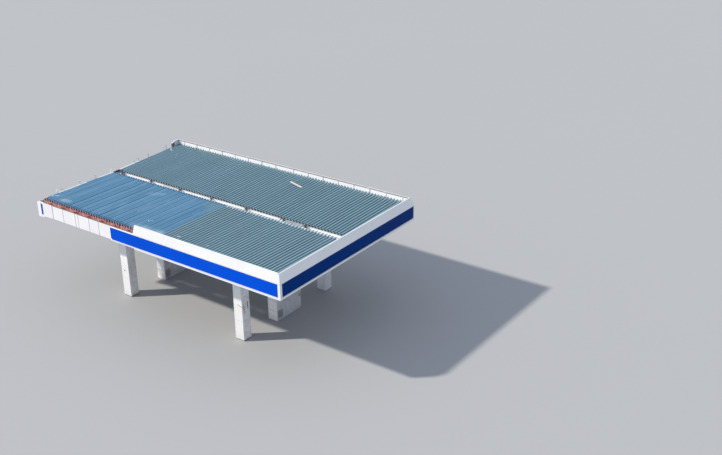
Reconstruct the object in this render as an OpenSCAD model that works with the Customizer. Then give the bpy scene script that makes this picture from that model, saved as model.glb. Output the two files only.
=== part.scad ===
// Filling station canopy, half clad: steel frame on four square clad columns
// and two long clad piers, profiled steel roof in two halves that fall to a
// central gutter, and a blue and white edge fascia on three sides. The left
// end and the left third of the front are not clad yet.
// Units: millimetres. +Z up, +X along the long front, +Y from front to back.
// Origin: centre of the plan, on the floor.

/* [Overall] */
// Length over the fascia, left to right
canopy_l = 18760; // [17500:10:20000]
// Depth over the fascia, front to back
canopy_w = 12000; // [11400:10:12600]
// Clear height under the fascia
clear_h = 4835; // [4700:5:5000]

/* [Columns] */
// Distance between the two column rows
bay_x = 9060; // [8400:10:9600]
// Distance from the middle row to the front and back columns
bay_y = 3650; // [3400:10:3900]
// Side of a column's cladding
col_side = 610; // [560:5:700]
// Width of a pier's cladding, left to right
pier_w = 670; // [665:5:720]
// Depth of a pier's cladding, front to back
pier_d = 2140; // [1600:10:2400]
// Wall of the column and pier cladding
clad_t = 20; // [12:1:24]
// Side of the square steel posts
post_side = 300; // [260:10:300]
// Wall of the steel posts
post_t = 12; // [8:1:16]
// Side of a base plate
plate_side = 500; // [440:10:520]
// Thickness of a base plate
plate_t = 25; // [20:1:30]
// Distance between the anchor holes of a base plate
anchor_gap = 400; // [370:5:410]
// Radius of an anchor hole
anchor_r = 14; // [11:1:16]

/* [Fascia] */
// Height of the white lip under the blue band
lip_h = 100; // [70:5:120]
// Height of the blue band
blue_h = 765; // [740:5:790]
// Rise of the white upper band, over the blue band
upper_h = 512; // [480:2:540]
// How far the upper band leans in
lean = 150; // [120:5:180]
// Width of the parapet cap
cap_w = 100; // [80:5:120]
// How far the blue band stands behind the lip
blue_set = 30; // [20:5:40]
// Where the upper band starts on the front
upper_x0 = -1090; // [-1400:10:-800]
// Where the blue band starts on the front
blue_x0 = -3000; // [-3300:10:-2700]

/* [Roof] */
// Pitch of the ribs of the roof sheets
rib_pitch = 218; // [216:1:219]
// Depth of the ribs
rib_h = 75; // [60:1:78]
// Fall of each roof half to the gutter, in per cent
fall = 2; // [1.6:0.1:2]
// Height of the rib tops at the front and back edges
deck_top = 5900; // [5896:2:5910]
// Half the depth of the roof sheets, gutter to edge
deck_y = 5620; // [5600:5:5640]
// Inside depth of the gutter
gutter_d = 190; // [170:5:195]

/* [Steel] */
// Depth of the two cross girders
girder_h = 350; // [300:10:380]
// Depth of the long purlins
purlin_h = 200; // [180:5:210]
// Distance between purlins
purlin_gap = 1300; // [1280:5:1310]

/* [Hidden] */
L = canopy_l / 2;
W = canopy_w / 2;
z_lip = clear_h;
z_blue = clear_h + lip_h;
z_mid = z_blue + blue_h;
z_top = z_mid + upper_h;
ang = atan(fall / 100);
z_ridge = deck_top - deck_y * fall / 100;   // rib tops where both halves would meet
z_seat = z_ridge - rib_h - 3;               // seat of the sheets there
deck_x0 = -9170;
deck_x1 = 9130;
edge_y = 5590;    // outer face of the front and back edge beams
gut_y0 = -110;
gut_y1 = 400;
gut_c = (gut_y0 + gut_y1) / 2;
gut_z = z_seat - 10;
girder_top = 5500;
girder_bot = girder_top - girder_h;
rows = [-bay_x / 2, bay_x / 2];
// inner face of the parapet lining
lin = lean + cap_w - 15;
// parapet studs: two runs of eight
stud_x = concat([for (i = [0:7]) -8560 + 1130 * i], [for (i = [0:7]) 780 + 1140 * i]);
frame_y = [for (i = [0:9]) -5085 + 1130 * i];
white = [0.93, 0.94, 0.95];
blue = [0.02, 0.24, 0.78];
primer = [0.62, 0.27, 0.24];
zinc = [0.62, 0.68, 0.72];

// ---- helpers ------------------------------------------------------------

// extrude a Y-Z outline along X from x0 to x1
module along_x(x0, x1) translate([x0, 0, 0]) rotate([90, 0, 90]) linear_extrude(x1 - x0) children();
// extrude an X-Z outline along Y from y0 to y1
module along_y(y0, y1) translate([0, y1, 0]) rotate([90, 0, 0]) linear_extrude(y1 - y0) children();
// outline of a fascia piece: u is measured inwards from the outer plane
module front_prof(p) polygon([for (q = p) [-W + q[0], q[1]]]);
module back_prof(p) polygon([for (q = p) [W - q[0], q[1]]]);
module right_prof(p) polygon([for (q = p) [L - q[0], q[1]]]);
// blocks that cut the mitres: side +1 removes outwards of the diagonal
module mitre(cx, cy, a, side)
  translate([cx, cy, 4000]) rotate([0, 0, a])
    translate([side > 0 ? 0 : -1500, -750, 0]) cube([1500, 1500, 3000]);
module i_beam(h, b, tw, tf) {
  translate([-b / 2, 0]) square([b, tf]);
  translate([-b / 2, h - tf]) square([b, tf]);
  translate([-tw / 2, 0]) square([tw, h]);
}
module channel(h, b, tw, tf) {
  square([b, tf]);
  translate([0, h - tf]) square([b, tf]);
  square([tw, h]);
}
module at_posts() {
  for (x = rows, y = [-bay_y, 0, bay_y]) translate([x, y, 0]) children();
}

// ---- columns ------------------------------------------------------------

module base_plates() color(primer) at_posts() difference() {
  translate([-plate_side / 2, -plate_side / 2, 0]) cube([plate_side, plate_side, plate_t]);
  for (i = [-1, 1], j = [-1, 1])
    translate([i * anchor_gap / 2, j * anchor_gap / 2, -1]) cylinder(h = plate_t + 2, r = anchor_r, $fn = 48);
}
module steel_posts() color(primer) at_posts() {
  difference() {
    translate([-post_side / 2, -post_side / 2, plate_t]) cube([post_side, post_side, girder_bot - plate_t - 20]);
    translate([-post_side / 2 + post_t, -post_side / 2 + post_t, plate_t - 1])
      cube([post_side - 2 * post_t, post_side - 2 * post_t, girder_bot - plate_t]);
  }
  translate([-180, -180, girder_bot - 20]) cube([360, 360, 20]);
}
// four boards around a post, with open joints at the back corners of the front and back boards
module clad_tube(cx, cy, a, b, z0, z1) translate([cx, cy, z0]) linear_extrude(z1 - z0) {
  for (s = [-1, 1]) {
    translate([0, s * (b - clad_t) / 2]) square([a, clad_t], center = true);
    translate([s * (a - clad_t) / 2, 0]) square([clad_t, b - 2 * clad_t - 2], center = true);
  }
}
module column_cladding_front() color(white) for (x = rows) clad_tube(x, -bay_y, col_side, col_side, 60, 4960);
module column_cladding_back() color(white) for (x = rows) clad_tube(x + 30, bay_y + 30, col_side, col_side, 20, 4960);
// each pier also takes in a downpipe, so its box stands a little to the right of its post
module pier_cladding_left() color([0.8, 0.8, 0.8]) clad_tube(rows[0] + 60, -105, pier_w, pier_d, 20, 4960);
module pier_cladding_right() color([0.8, 0.8, 0.8]) clad_tube(rows[1] + 60, -105, pier_w, pier_d, 20, 4960);

// ---- steel frame --------------------------------------------------------

module girder(cx) {
  along_y(-edge_y + 14, edge_y - 14) translate([cx, girder_bot]) i_beam(girder_h, 200, 12, 18);
  // end plates
  for (s = [-1, 1]) translate([cx - 100, s * (edge_y - 7.5) - 7.5, girder_bot]) cube([200, 15, girder_h]);
  // web stiffeners over the posts
  for (y = [-bay_y, 0, bay_y], s = [-1, 1]) translate([cx - 100, y + s * 130 - 6, girder_bot]) cube([200, 12, girder_h]);
}
module cross_girders() color(primer) for (x = rows) girder(x);

function seat(y) = z_seat + abs(y) * fall / 100;
purlin_y = [for (i = [0:3]) 550 + purlin_gap * i];
// underside of a purlin
function purlin_bot(y) = seat(y - 55) - purlin_h;

module purlin(y) along_x(-9081, 9041) translate([y, purlin_bot(abs(y))]) i_beam(purlin_h, 110, 8, 12);
module purlins() color(primer) for (y = purlin_y, s = [-1, 1]) purlin(s * y);
module purlin_stools() color(primer) for (x = rows, y = purlin_y, s = [-1, 1])
  translate([x - 70, s * y - 60, girder_top]) cube([140, 120, purlin_bot(y) - girder_top]);

edge_bot = seat(edge_y - 75) - 300;
module edge_beam() {
  along_x(-9170, 9130) translate([-edge_y, edge_bot]) channel(300, 75, 10, 14);
  for (x = rows) translate([x - 70, -edge_y, girder_top]) cube([140, 75, edge_bot - girder_top]);
}
module edge_beam_front() color(primer) edge_beam();
module edge_beam_back() color(primer) mirror([0, 1, 0]) edge_beam();
// end beams follow the fall of each roof half
module end_beam(x, s) for (h = [-1, 1])
  intersection() {
    translate([x, 0, z_seat]) rotate([h * ang, 0, 0]) translate([0, 0, -260])
      along_y(h < 0 ? -5900 : -400, h < 0 ? 400 : 5900) mirror([s > 0 ? 1 : 0, 0]) channel(260, 80, 9, 12);
    translate([x - 200, h < 0 ? -edge_y + 76 : gut_y1 + 12, 5000]) cube([400, h < 0 ? edge_y - 76 + gut_y0 - 12 : edge_y - 76 - gut_y1 - 12, 1500]);
  }
module edge_beam_left() color(primer) end_beam(-9170, -1);
module edge_beam_right() color(primer) end_beam(9130, 1);
// ties that join the end beams under the gutter
module gutter_ties() color(primer) for (x = [-9170, 9050])
  translate([x, gut_y0 - 12, gut_z - gutter_d - 64]) cube([80, gut_y1 - gut_y0 + 24, 60]);

// ---- gutter -------------------------------------------------------------

module gutter_floor() color(white) difference() {
  translate([-9160, gut_y0, gut_z - gutter_d - 4]) cube([18280, gut_y1 - gut_y0, 4]);
  for (x = rows) translate([x + 240, gut_c, gut_z - gutter_d - 10]) cylinder(h = 20, r = 51, $fn = 64);
}
module gutter_walls() color(white) {
  for (y = [gut_y0, gut_y1 - 4]) translate([-9160, y, gut_z - gutter_d]) cube([18280, 4, gutter_d]);
  // end plates, with open joints to the side walls
  for (x = [-9160, 9116]) translate([x, gut_y0 + 5, gut_z - gutter_d]) cube([4, gut_y1 - gut_y0 - 10, gutter_d]);
}
// straps across the top of the gutter at its joints
module gutter_straps() color(white) for (x = [-8760, -6160, -3660, -1060, 1690, 4290, 5990])
  translate([x - 60, gut_y0, gut_z]) cube([120, gut_y1 - gut_y0, 4]);
module downpipes() color(zinc) for (x = rows) translate([x + 240, gut_c, 60]) difference() {
  cylinder(h = gut_z - gutter_d - 4 - 60, r = 55, $fn = 64);
  translate([0, 0, -1]) cylinder(h = 6000, r = 51, $fn = 64);
}

// ---- roof sheets --------------------------------------------------------

// one rib: crest 110 wide, slopes 25 wide each, the rest of the pitch is valley
function rib_top(i) = [[i * rib_pitch, 0], [i * rib_pitch + 25, rib_h], [i * rib_pitch + 135, rib_h], [i * rib_pitch + 160, 0]];
function rev(v) = [for (i = [len(v) - 1:-1:0]) v[i]];
module sheet_prof(n, lead, tail) {
  t = [for (i = [0:n - 1]) each rib_top(i)];
  b = [for (i = [0:n - 1]) each [[i * rib_pitch + 4, -3], [i * rib_pitch + 29, rib_h - 3], [i * rib_pitch + 131, rib_h - 3], [i * rib_pitch + 156, -3]]];
  polygon(concat(lead > 0 ? [[-lead, 0]] : [], t, [[n * rib_pitch + tail, 0]], [[n * rib_pitch + tail, -3]], rev(b), [[-lead, -3]]));
}
// sheets of one roof half: h -1 is the front, y from the gutter to the edge
module sheets(x, n, lead, tail, h, yg, ye)
  translate([x, 0, z_seat + 3]) rotate([h * ang, 0, 0]) along_y(h < 0 ? -ye : yg, h < 0 ? yg : ye) sheet_prof(n, lead, tail);
n_ribs = 83;
n_film = 44;
// flat strip after the last rib, up to the right-hand end beam
tail_w = deck_x1 - 23 - deck_x0 - 45 - n_ribs * rib_pitch;
module roof_sheets_filmed() color([0.36, 0.58, 0.74]) sheets(deck_x0 + 45, n_film, 45, 0, -1, -60, deck_y);
module roof_sheets_front() color(zinc) sheets(deck_x0 + 45 + n_film * rib_pitch + 1, n_ribs - n_film, 0, tail_w - 1, -1, -60, deck_y);
module roof_sheets_back() color(zinc) sheets(deck_x0 + 45, n_ribs, 45, tail_w, 1, 370, deck_y);

// ---- fascia -------------------------------------------------------------

back_u = 80;      // outer face of the backing panels
back_t = 30;
frame_u = back_u + back_t;
stud_u = lin - 50;       // outer face of the studs behind a leaning band
stud_left_u = frame_u + 40;
return_l = 560;          // length of the short returns on the open side
// stud at (0,0), u running inwards along +x
module stud(u0, top) translate([u0, -25, z_lip + 70]) cube([50, 50, top - z_lip - 70]);
// arm from a stud back to the beam behind it
module arm(u0, reach, z) translate([u0 + 50, -25, z]) cube([reach - u0 - 50, 50, 50]);
module front_pos() multmatrix([[0, 1, 0, 0], [1, 0, 0, -W], [0, 0, 1, 0], [0, 0, 0, 1]]) children();
module back_pos() multmatrix([[0, 1, 0, 0], [-1, 0, 0, W], [0, 0, 1, 0], [0, 0, 0, 1]]) children();
module right_pos() multmatrix([[-1, 0, 0, L], [0, 1, 0, 0], [0, 0, 1, 0], [0, 0, 0, 1]]) children();
module left_pos() multmatrix([[1, 0, 0, -L], [0, 1, 0, 0], [0, 0, 1, 0], [0, 0, 0, 1]]) children();

// the first stud of the upper band closes its cut end
front_x = concat([for (x = stud_x) if (x < upper_x0) x], [upper_x0 - 26], [for (x = stud_x) if (x > upper_x0) x]);
module fascia_studs_front() color(primer) front_pos()
  for (x = front_x) translate([0, x, 0]) stud(stud_u, x > upper_x0 - 100 ? z_top - 22 : 5830);
module fascia_studs_back() color(primer) back_pos()
  for (x = stud_x) translate([0, x, 0]) stud(stud_u, z_top - 22);
module fascia_studs_ends() color(primer) {
  right_pos() for (y = frame_y) translate([0, y, 0]) stud(stud_u, z_top - 22);
  left_pos() for (y = frame_y) translate([0, y, 0]) stud(stud_left_u, 5760);
}
module fascia_arms() color(primer) {
  front_pos() for (x = front_x, z = [5560, 5650]) translate([0, x, 0]) arm(stud_u, W - edge_y, z);
  back_pos() for (x = stud_x, z = [5560, 5650]) translate([0, x, 0]) arm(stud_u, W - edge_y, z);
  right_pos() for (y = frame_y) translate([0, y, 0]) arm(stud_u, L - deck_x1, 5560);
  left_pos() for (y = frame_y) translate([0, y, 0]) arm(stud_left_u, L + deck_x0, 5560);
}
// rails between the panels and the studs
module rail(a, b, z, d) translate([frame_u, a, z]) cube([d, b - a, 40]);
rail_d = stud_u - frame_u;
module fascia_rails() color(primer) {
  front_pos() for (z = [z_lip + 90, 5690]) rail(-9120, L - stud_u - 5, z, rail_d);
  back_pos() for (z = [z_lip + 90, 5690]) rail(-9120, L - stud_u - 5, z, rail_d);
  right_pos() for (z = [z_lip + 90, 5690]) rail(-W + frame_u, W - frame_u, z, rail_d);
  left_pos() for (z = [z_lip + 90, 5640]) rail(-W + frame_u + rail_d + 5, W - frame_u - rail_d - 5, z, 40);
}

// white panels behind the blue band
p_z0 = z_lip + 70;
p_z1 = 5772;
p_prof = [[back_u, p_z0], [back_u + back_t, p_z0], [back_u + back_t, p_z1], [back_u, p_z1]];
module backing_panels_front() color(white) along_x(-L + 10 + back_u, L - frame_u) front_prof(p_prof);
module backing_panels_back() color(white) along_x(-L + 10 + back_u, L - frame_u) back_prof(p_prof);
module backing_panels_right() color(white) along_y(-W + back_u, W - back_u) right_prof(p_prof);

// blue band with a rounded lower edge
module blue_prof() union() {
  translate([blue_set, z_blue + 50]) square([50, blue_h - 51]);
  translate([blue_set + 50, z_blue + 50]) intersection() {
    circle(r = 50, $fn = 64);
    translate([-50, -50]) square([50, 50]);
  }
}
post_w = 154;     // face of a corner post
end_r = 150;      // rounding of the free lower corners of the blue band
// cutter for a rounded lower corner, free end at the origin, band towards +x
module round_corner() difference() {
  translate([-1, -1, 0]) cube([end_r + 1, end_r + 1, 200]);
  translate([end_r, end_r, -1]) cylinder(h = 202, r = end_r, $fn = 96);
}
module blue_band_front() color(blue) difference() {
  along_x(blue_x0, L - post_w) translate([-W, 0]) blue_prof();
  translate([blue_x0, -W + 150, z_blue]) rotate([90, 0, 0]) round_corner();
}
module blue_band_back() color(blue) along_x(-L + 280, L - 81) mirror([1, 0]) translate([-W, 0]) blue_prof();
module blue_band_right() color(blue) difference() {
  along_y(-W + 165, W - 60) mirror([1, 0]) translate([-L, 0]) blue_prof();
  translate([L - 150, W - 60, z_blue]) rotate([90, 0, 90]) mirror([1, 0, 0]) round_corner();
}

lip_prof = [[0, z_lip], [back_u, z_lip], [back_u, z_blue - 1], [0, z_blue - 1]];
// half as high before the upper band starts, with an open joint there
module bottom_lip_front() color(white) {
  difference() {
    along_x(upper_x0, L) front_prof(lip_prof);
    mitre(L, -W, 45, 1);
  }
  translate([blue_x0, -W, z_lip + lip_h / 2]) cube([upper_x0 - blue_x0 - 2, back_u, lip_h / 2 - 1]);
}
module bottom_lip_right() color(white) difference() {
  along_y(-W, W) right_prof(lip_prof);
  mitre(L, -W, 45, -1);
  mitre(L, W, -45, -1);
}
module bottom_lip_back() color(white) difference() {
  along_x(-L, L) back_prof(lip_prof);
  mitre(L, W, -45, 1);
}

// upper band: leans in, with a hemmed lower edge
upper_prof = [[0, z_mid], [back_u, z_mid], [back_u, z_mid + 20], [24, z_mid + 20], [24, z_mid + 60],
              [lean + 24, z_top - 22], [lean, z_top - 22], [0, z_mid + 60]];
module upper_band_front() color(white) difference() {
  along_x(upper_x0, L) front_prof(upper_prof);
  mitre(L, -W, 45, 1);
}
module upper_band_right() color(white) difference() {
  along_y(-W, W) right_prof(upper_prof);
  mitre(L, -W, 45, -1);
  mitre(L, W, -45, -1);
}
module upper_band_back() color(white) {
  difference() {
    along_x(-L, L) back_prof(upper_prof);
    mitre(L, W, -45, 1);
    mitre(-L, W, 45, -1);
  }
  // short return on the open side, with an open joint at the mitre
  difference() {
    along_y(W - return_l, W) mirror([1, 0]) right_prof(upper_prof);
    mitre(-L, W - 3, 45, 1);
  }
}
module parapet_cap() color(white) translate([0, 0, z_top - 22]) linear_extrude(22) difference() {
  translate([-L + lean - 5, -W + lean - 5]) square([2 * (L - lean + 5), 2 * (W - lean + 5)]);
  translate([-L + lean + cap_w - 5, -W + lean + cap_w - 5]) square([2 * (L - lean - cap_w + 5), 2 * (W - lean - cap_w + 5)]);
  translate([-L - 100, -W - 100]) square([upper_x0 + L + 100, W + 100]);
  translate([-L - 100, -W - 100]) square([1000, 2 * W + 100 - return_l]);
  // open joints at the mitres
  for (s = [-1, 1]) translate([L - lean + 5, s * (W - lean + 5)]) rotate(s * 45) square([600, 2], center = true);
  translate([-L + lean - 5, W - lean + 5]) rotate(-45) square([600, 2], center = true);
}
// the linings stop short of the cap, with an open shadow gap
lin_top = z_top - 22 - 45;
lin_prof = [[lin, 5700], [lin + 10, 5700], [lin + 10, lin_top], [lin, lin_top]];
module stud_row_x(s, xs) for (x = xs) translate([x - 20, s > 0 ? W - lin - 10 - 8 : -W + lin + 9, 5880]) cube([40, 9, z_top - 22 - 5880]);
module parapet_lining_front() color(white) {
  along_x(upper_x0, L - lin - 10) front_prof(lin_prof);
  stud_row_x(-1, [for (x = stud_x) if (x > upper_x0) x]);
}
module parapet_lining_back() color(white) {
  along_x(-9200, L - lin - 10) back_prof(lin_prof);
  stud_row_x(1, stud_x);
}
module parapet_lining_right() color(white) {
  along_y(-W + lin, W - lin) right_prof(lin_prof);
  for (y = frame_y) translate([L - lin - 18, y - 20, 5900]) cube([9, 40, z_top - 22 - 5900]);
}

// white posts that close the corners of the blue band
module corner_posts() color(white) {
  // near corner, front right
  translate([L - post_w + 1, -W, z_blue]) cube([post_w - 1, back_u, blue_h - 1]);
  translate([L - back_u, -W + back_u - 1, z_blue]) cube([back_u, 85, blue_h - 1]);
  // back right
  translate([L - back_u, W - 59, z_blue]) cube([back_u, 59, blue_h - 1]);
  // back left, with a short return on the open side
  translate([-L, W - back_u, z_blue]) cube([279, back_u, blue_h - 1]);
  translate([-L, W - return_l, z_blue]) cube([29, return_l, blue_h - 1]);
}
// first unit of the front band, before the gap: white corner with a short return, a set back slip, a white edge
module corner_unit_front_left() color(white) {
  h = z_mid + 60 - z_lip;
  translate([-L, -W, z_lip]) cube([300, back_u, h]);
  translate([-L, -W, z_lip]) cube([29, return_l, h]);
  translate([-L + 299, -W + 30, z_lip]) cube([132, back_u - 30, h]);
  translate([-L + 430, -W + 10, z_lip]) cube([60, back_u - 10, h]);
}
// flat strips along the open left edge
module left_edge_trim() color(white) {
  for (r = [[-4500, 2150], [-1500, 1350]])
    translate([-9182, 0, z_seat + 3]) rotate([-ang, 0, 0]) translate([0, r[0], rib_h]) cube([122, r[1], 6]);
  translate([-9182, 0, z_seat + 3]) rotate([ang, 0, 0]) translate([0, 400, rib_h]) cube([122, 1700, 6]);
}

base_plates();
steel_posts();
cross_girders();
purlin_stools();
purlins();
edge_beam_front();
edge_beam_back();
edge_beam_left();
edge_beam_right();
gutter_ties();
gutter_floor();
gutter_walls();
gutter_straps();
downpipes();
roof_sheets_filmed();
roof_sheets_front();
roof_sheets_back();
column_cladding_front();
column_cladding_back();
pier_cladding_left();
pier_cladding_right();
fascia_studs_front();
fascia_studs_back();
fascia_studs_ends();
fascia_arms();
fascia_rails();
backing_panels_front();
backing_panels_right();
backing_panels_back();
blue_band_front();
blue_band_right();
blue_band_back();
bottom_lip_front();
bottom_lip_right();
bottom_lip_back();
upper_band_front();
upper_band_right();
upper_band_back();
parapet_cap();
parapet_lining_front();
parapet_lining_right();
parapet_lining_back();
corner_posts();
corner_unit_front_left();
left_edge_trim();
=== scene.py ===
import bpy, bmesh, math, random
from mathutils import Vector, Matrix


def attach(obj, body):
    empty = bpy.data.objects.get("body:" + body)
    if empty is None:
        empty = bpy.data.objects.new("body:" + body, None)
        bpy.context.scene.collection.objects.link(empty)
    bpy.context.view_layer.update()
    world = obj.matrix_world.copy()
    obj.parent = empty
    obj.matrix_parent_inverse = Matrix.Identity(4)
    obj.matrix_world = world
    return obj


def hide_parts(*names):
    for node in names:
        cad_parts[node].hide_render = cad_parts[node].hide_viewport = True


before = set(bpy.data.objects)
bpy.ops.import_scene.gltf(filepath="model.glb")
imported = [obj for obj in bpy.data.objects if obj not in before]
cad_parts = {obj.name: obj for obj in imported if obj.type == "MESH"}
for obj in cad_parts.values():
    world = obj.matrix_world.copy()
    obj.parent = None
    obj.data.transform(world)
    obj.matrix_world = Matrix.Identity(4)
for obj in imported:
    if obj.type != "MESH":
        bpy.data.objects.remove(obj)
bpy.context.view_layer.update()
rnd = random.Random(41)
scene = bpy.context.scene

# ---- camera: solved from the straight edges of the canopy --------------------
W_PX, H_PX = 722.0, 455.0
F_PX, PPX, PPY = 1030.93, 281.173, 251.816
az, el, roll = map(math.radians, (40.673, 25.4315, -2.6506))
back = Vector((math.sin(az) * math.cos(el), -math.cos(az) * math.cos(el), math.sin(el)))
r0 = Vector((math.cos(az), math.sin(az), 0))
u0 = back.cross(r0)
right = r0 * math.cos(roll) + u0 * math.sin(roll)
up = -r0 * math.sin(roll) + u0 * math.cos(roll)
cam_data = bpy.data.cameras.new("camera")
cam = bpy.data.objects.new("camera", cam_data)
scene.collection.objects.link(cam)
cam.matrix_world = Matrix(((right.x, up.x, back.x, 38.658), (right.y, up.y, back.y, -39.8494),
                           (right.z, up.z, back.z, 28.7971), (0, 0, 0, 1)))
cam_data.sensor_width = 36.0
cam_data.sensor_fit = "HORIZONTAL"
cam_data.lens = F_PX / W_PX * 36.0
cam_data.shift_x = (W_PX / 2 - PPX) / W_PX
cam_data.shift_y = (PPY - H_PX / 2) / W_PX
cam_data.clip_end = 600
scene.camera = cam

# ---- light -------------------------------------------------------------------
SUN_DIR = Vector((-0.6055, -0.5274, 0.5960))
sun = bpy.data.lights.new("key", "SUN")
sun.energy = 3.4
sun.color = (1.0, 0.965, 0.90)
sun.angle = math.radians(2.0)
sun_ob = bpy.data.objects.new("key", sun)
scene.collection.objects.link(sun_ob)
sun_ob.rotation_mode = "QUATERNION"
sun_ob.rotation_quaternion = SUN_DIR.to_track_quat("Z", "Y")
world = bpy.data.worlds.new("studio")
scene.world = world
world.use_nodes = True
world.node_tree.nodes["Background"].inputs[0].default_value = (0.80, 0.915, 1.14, 1)
world.node_tree.nodes["Background"].inputs[1].default_value = 0.60
scene.view_settings.view_transform = "Standard"

# ---- lengths of the frame, in metres -----------------------------------------
L, W = 9.38, 6.0
Z_LIP, Z_BLUE, Z_MID, Z_TOP = 4.835, 4.935, 5.7, 6.212
LEAN, CAP_W, BACK_U, BLUE_SET = 0.15, 0.1, 0.08, 0.03
BLUE_X0, UPPER_X0, END_R = -3.0, -1.09, 0.15
PITCH, N_RIBS, N_FILM, RIB_H, DECK_X0, DECK_Y = 0.218, 83, 44, 0.075, -9.125, 5.62
FALL = 0.02
Z0 = 5.7126                      # valley level of the roof sheets where both halves would meet
ROWS = (-4.53, 4.53)
BAY_Y = 3.65
PURLIN_Y = [0.55 + 1.3 * i for i in range(4)]
GUT_Y0, GUT_Y1, GUT_Z, GUT_D = -0.11, 0.4, 5.6996, 0.19
LIN = LEAN + CAP_W - 0.015
STUD_X = [-8.56 + 1.13 * i for i in range(8)] + [0.78 + 1.14 * i for i in range(8)]
FRAME_Y = [-5.085 + 1.13 * i for i in range(10)]


def deck(y):
    """level of the roof's valleys at y"""
    return Z0 + abs(y) * FALL


# ---- node graphs of the materials ----------------------------------------------
class Mat:
    """One material's node graph, in the object's own coordinates (metres)."""

    def __init__(self, name):
        self.m = bpy.data.materials.new(name)
        self.m.use_nodes = True
        self.t = self.m.node_tree
        self.p = self.t.nodes["Principled BSDF"]
        self.at = self.t.nodes.new("ShaderNodeTexCoord").outputs["Object"]
        s = self.t.nodes.new("ShaderNodeSeparateXYZ")
        self.t.links.new(self.at, s.inputs[0])
        self.x, self.y, self.z = s.outputs
        self.bumps = []

    def put(self, sock, v):
        if isinstance(v, bpy.types.NodeSocket):
            self.t.links.new(v, sock)
        elif sock.type == "RGBA":
            sock.default_value = (v[0], v[1], v[2], 1)
        else:
            sock.default_value = v

    def math(self, op, a, b=0.0, c=0.0, clamp=False):
        n = self.t.nodes.new("ShaderNodeMath")
        n.operation = op
        n.use_clamp = clamp
        for s, v in zip(n.inputs, (a, b, c)):
            self.put(s, v)
        return n.outputs[0]

    def add(self, a, b): return self.math("ADD", a, b)
    def sub(self, a, b): return self.math("SUBTRACT", a, b)
    def mul(self, a, b): return self.math("MULTIPLY", a, b)
    def big(self, a, b): return self.math("MAXIMUM", a, b)
    def small(self, a, b): return self.math("MINIMUM", a, b)

    def vec(self, x, y, z):
        n = self.t.nodes.new("ShaderNodeCombineXYZ")
        for s, v in zip(n.inputs, (x, y, z)):
            self.put(s, v)
        return n.outputs[0]

    def scaled(self, k, at=None):
        n = self.t.nodes.new("ShaderNodeVectorMath")
        n.operation = "MULTIPLY"
        self.t.links.new(at or self.at, n.inputs[0])
        n.inputs[1].default_value = k
        return n.outputs[0]

    def noise(self, scale, detail=3.0, rough=0.55, k=None, at=None, dist=0.0):
        n = self.t.nodes.new("ShaderNodeTexNoise")
        self.t.links.new(self.scaled(k, at) if k else (at or self.at), n.inputs["Vector"])
        n.inputs["Scale"].default_value = scale
        n.inputs["Detail"].default_value = detail
        n.inputs["Roughness"].default_value = rough
        n.inputs["Distortion"].default_value = dist
        return n.outputs["Fac"]

    def cells(self, scale, k=None, feature="F1", out="Distance"):
        n = self.t.nodes.new("ShaderNodeTexVoronoi")
        n.feature = feature
        self.t.links.new(self.scaled(k) if k else self.at, n.inputs["Vector"])
        n.inputs["Scale"].default_value = scale
        return n.outputs[out]

    def hashed(self, v):
        n = self.t.nodes.new("ShaderNodeTexWhiteNoise")
        n.noise_dimensions = "1D"
        self.put(n.inputs["W"], v)
        return n.outputs["Value"]

    def step(self, v, lo, hi, a=0.0, b=1.0):
        n = self.t.nodes.new("ShaderNodeMapRange")
        n.interpolation_type = "SMOOTHSTEP"
        self.put(n.inputs["Value"], v)
        for s, q in zip(("From Min", "From Max", "To Min", "To Max"), (lo, hi, a, b)):
            n.inputs[s].default_value = q
        return n.outputs[0]

    def mix(self, f, a, b):
        n = self.t.nodes.new("ShaderNodeMix")
        n.data_type = "RGBA"
        n.clamp_factor = True
        self.put(n.inputs[0], f)
        self.put(n.inputs[6], a)
        self.put(n.inputs[7], b)
        return n.outputs[2]

    def shade(self, col, f):
        """colour multiplied by a factor"""
        n = self.t.nodes.new("ShaderNodeVectorMath")
        n.operation = "SCALE"
        self.put(n.inputs[0], col)
        self.put(n.inputs["Scale"], f)
        return n.outputs[0]

    def blob(self, c, r, turn=0.0, plane="xz", wob=0.25, soft=0.25, freq=9.0):
        """soft mark: an ellipse of radii r about c in a plane of the object, with a ragged rim"""
        a, b = {"xz": (self.x, self.z), "yz": (self.y, self.z), "xy": (self.x, self.y)}[plane]
        a, b = self.sub(a, c[0]), self.sub(b, c[1])
        co, si = math.cos(turn), math.sin(turn)
        p = self.add(self.mul(a, co / r[0]), self.mul(b, si / r[0]))
        q = self.add(self.mul(a, -si / r[1]), self.mul(b, co / r[1]))
        d = self.math("SQRT", self.add(self.mul(p, p), self.mul(q, q)))
        d = self.add(d, self.mul(self.sub(self.noise(freq, 3), 0.5), wob * 4))
        return self.step(d, 1 + soft, 1 - soft)

    def streaks(self, lo=0.52, hi=0.72, scale=1.0, axis="z"):
        """run marks: noise drawn out along one axis"""
        k = {"z": (9, 9, 0.55), "y": (14, 0.45, 3), "x": (0.45, 14, 3)}[axis]
        n = self.noise(scale, 5, 0.6, k=k, dist=0.4)
        return self.step(n, lo, hi)

    def bump(self, h, dist, strength=1.0):
        n = self.t.nodes.new("ShaderNodeBump")
        n.inputs["Distance"].default_value = dist
        n.inputs["Strength"].default_value = strength
        self.t.links.new(h, n.inputs["Height"])
        if self.bumps:
            self.t.links.new(self.bumps[-1], n.inputs["Normal"])
        self.bumps.append(n.outputs[0])

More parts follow.
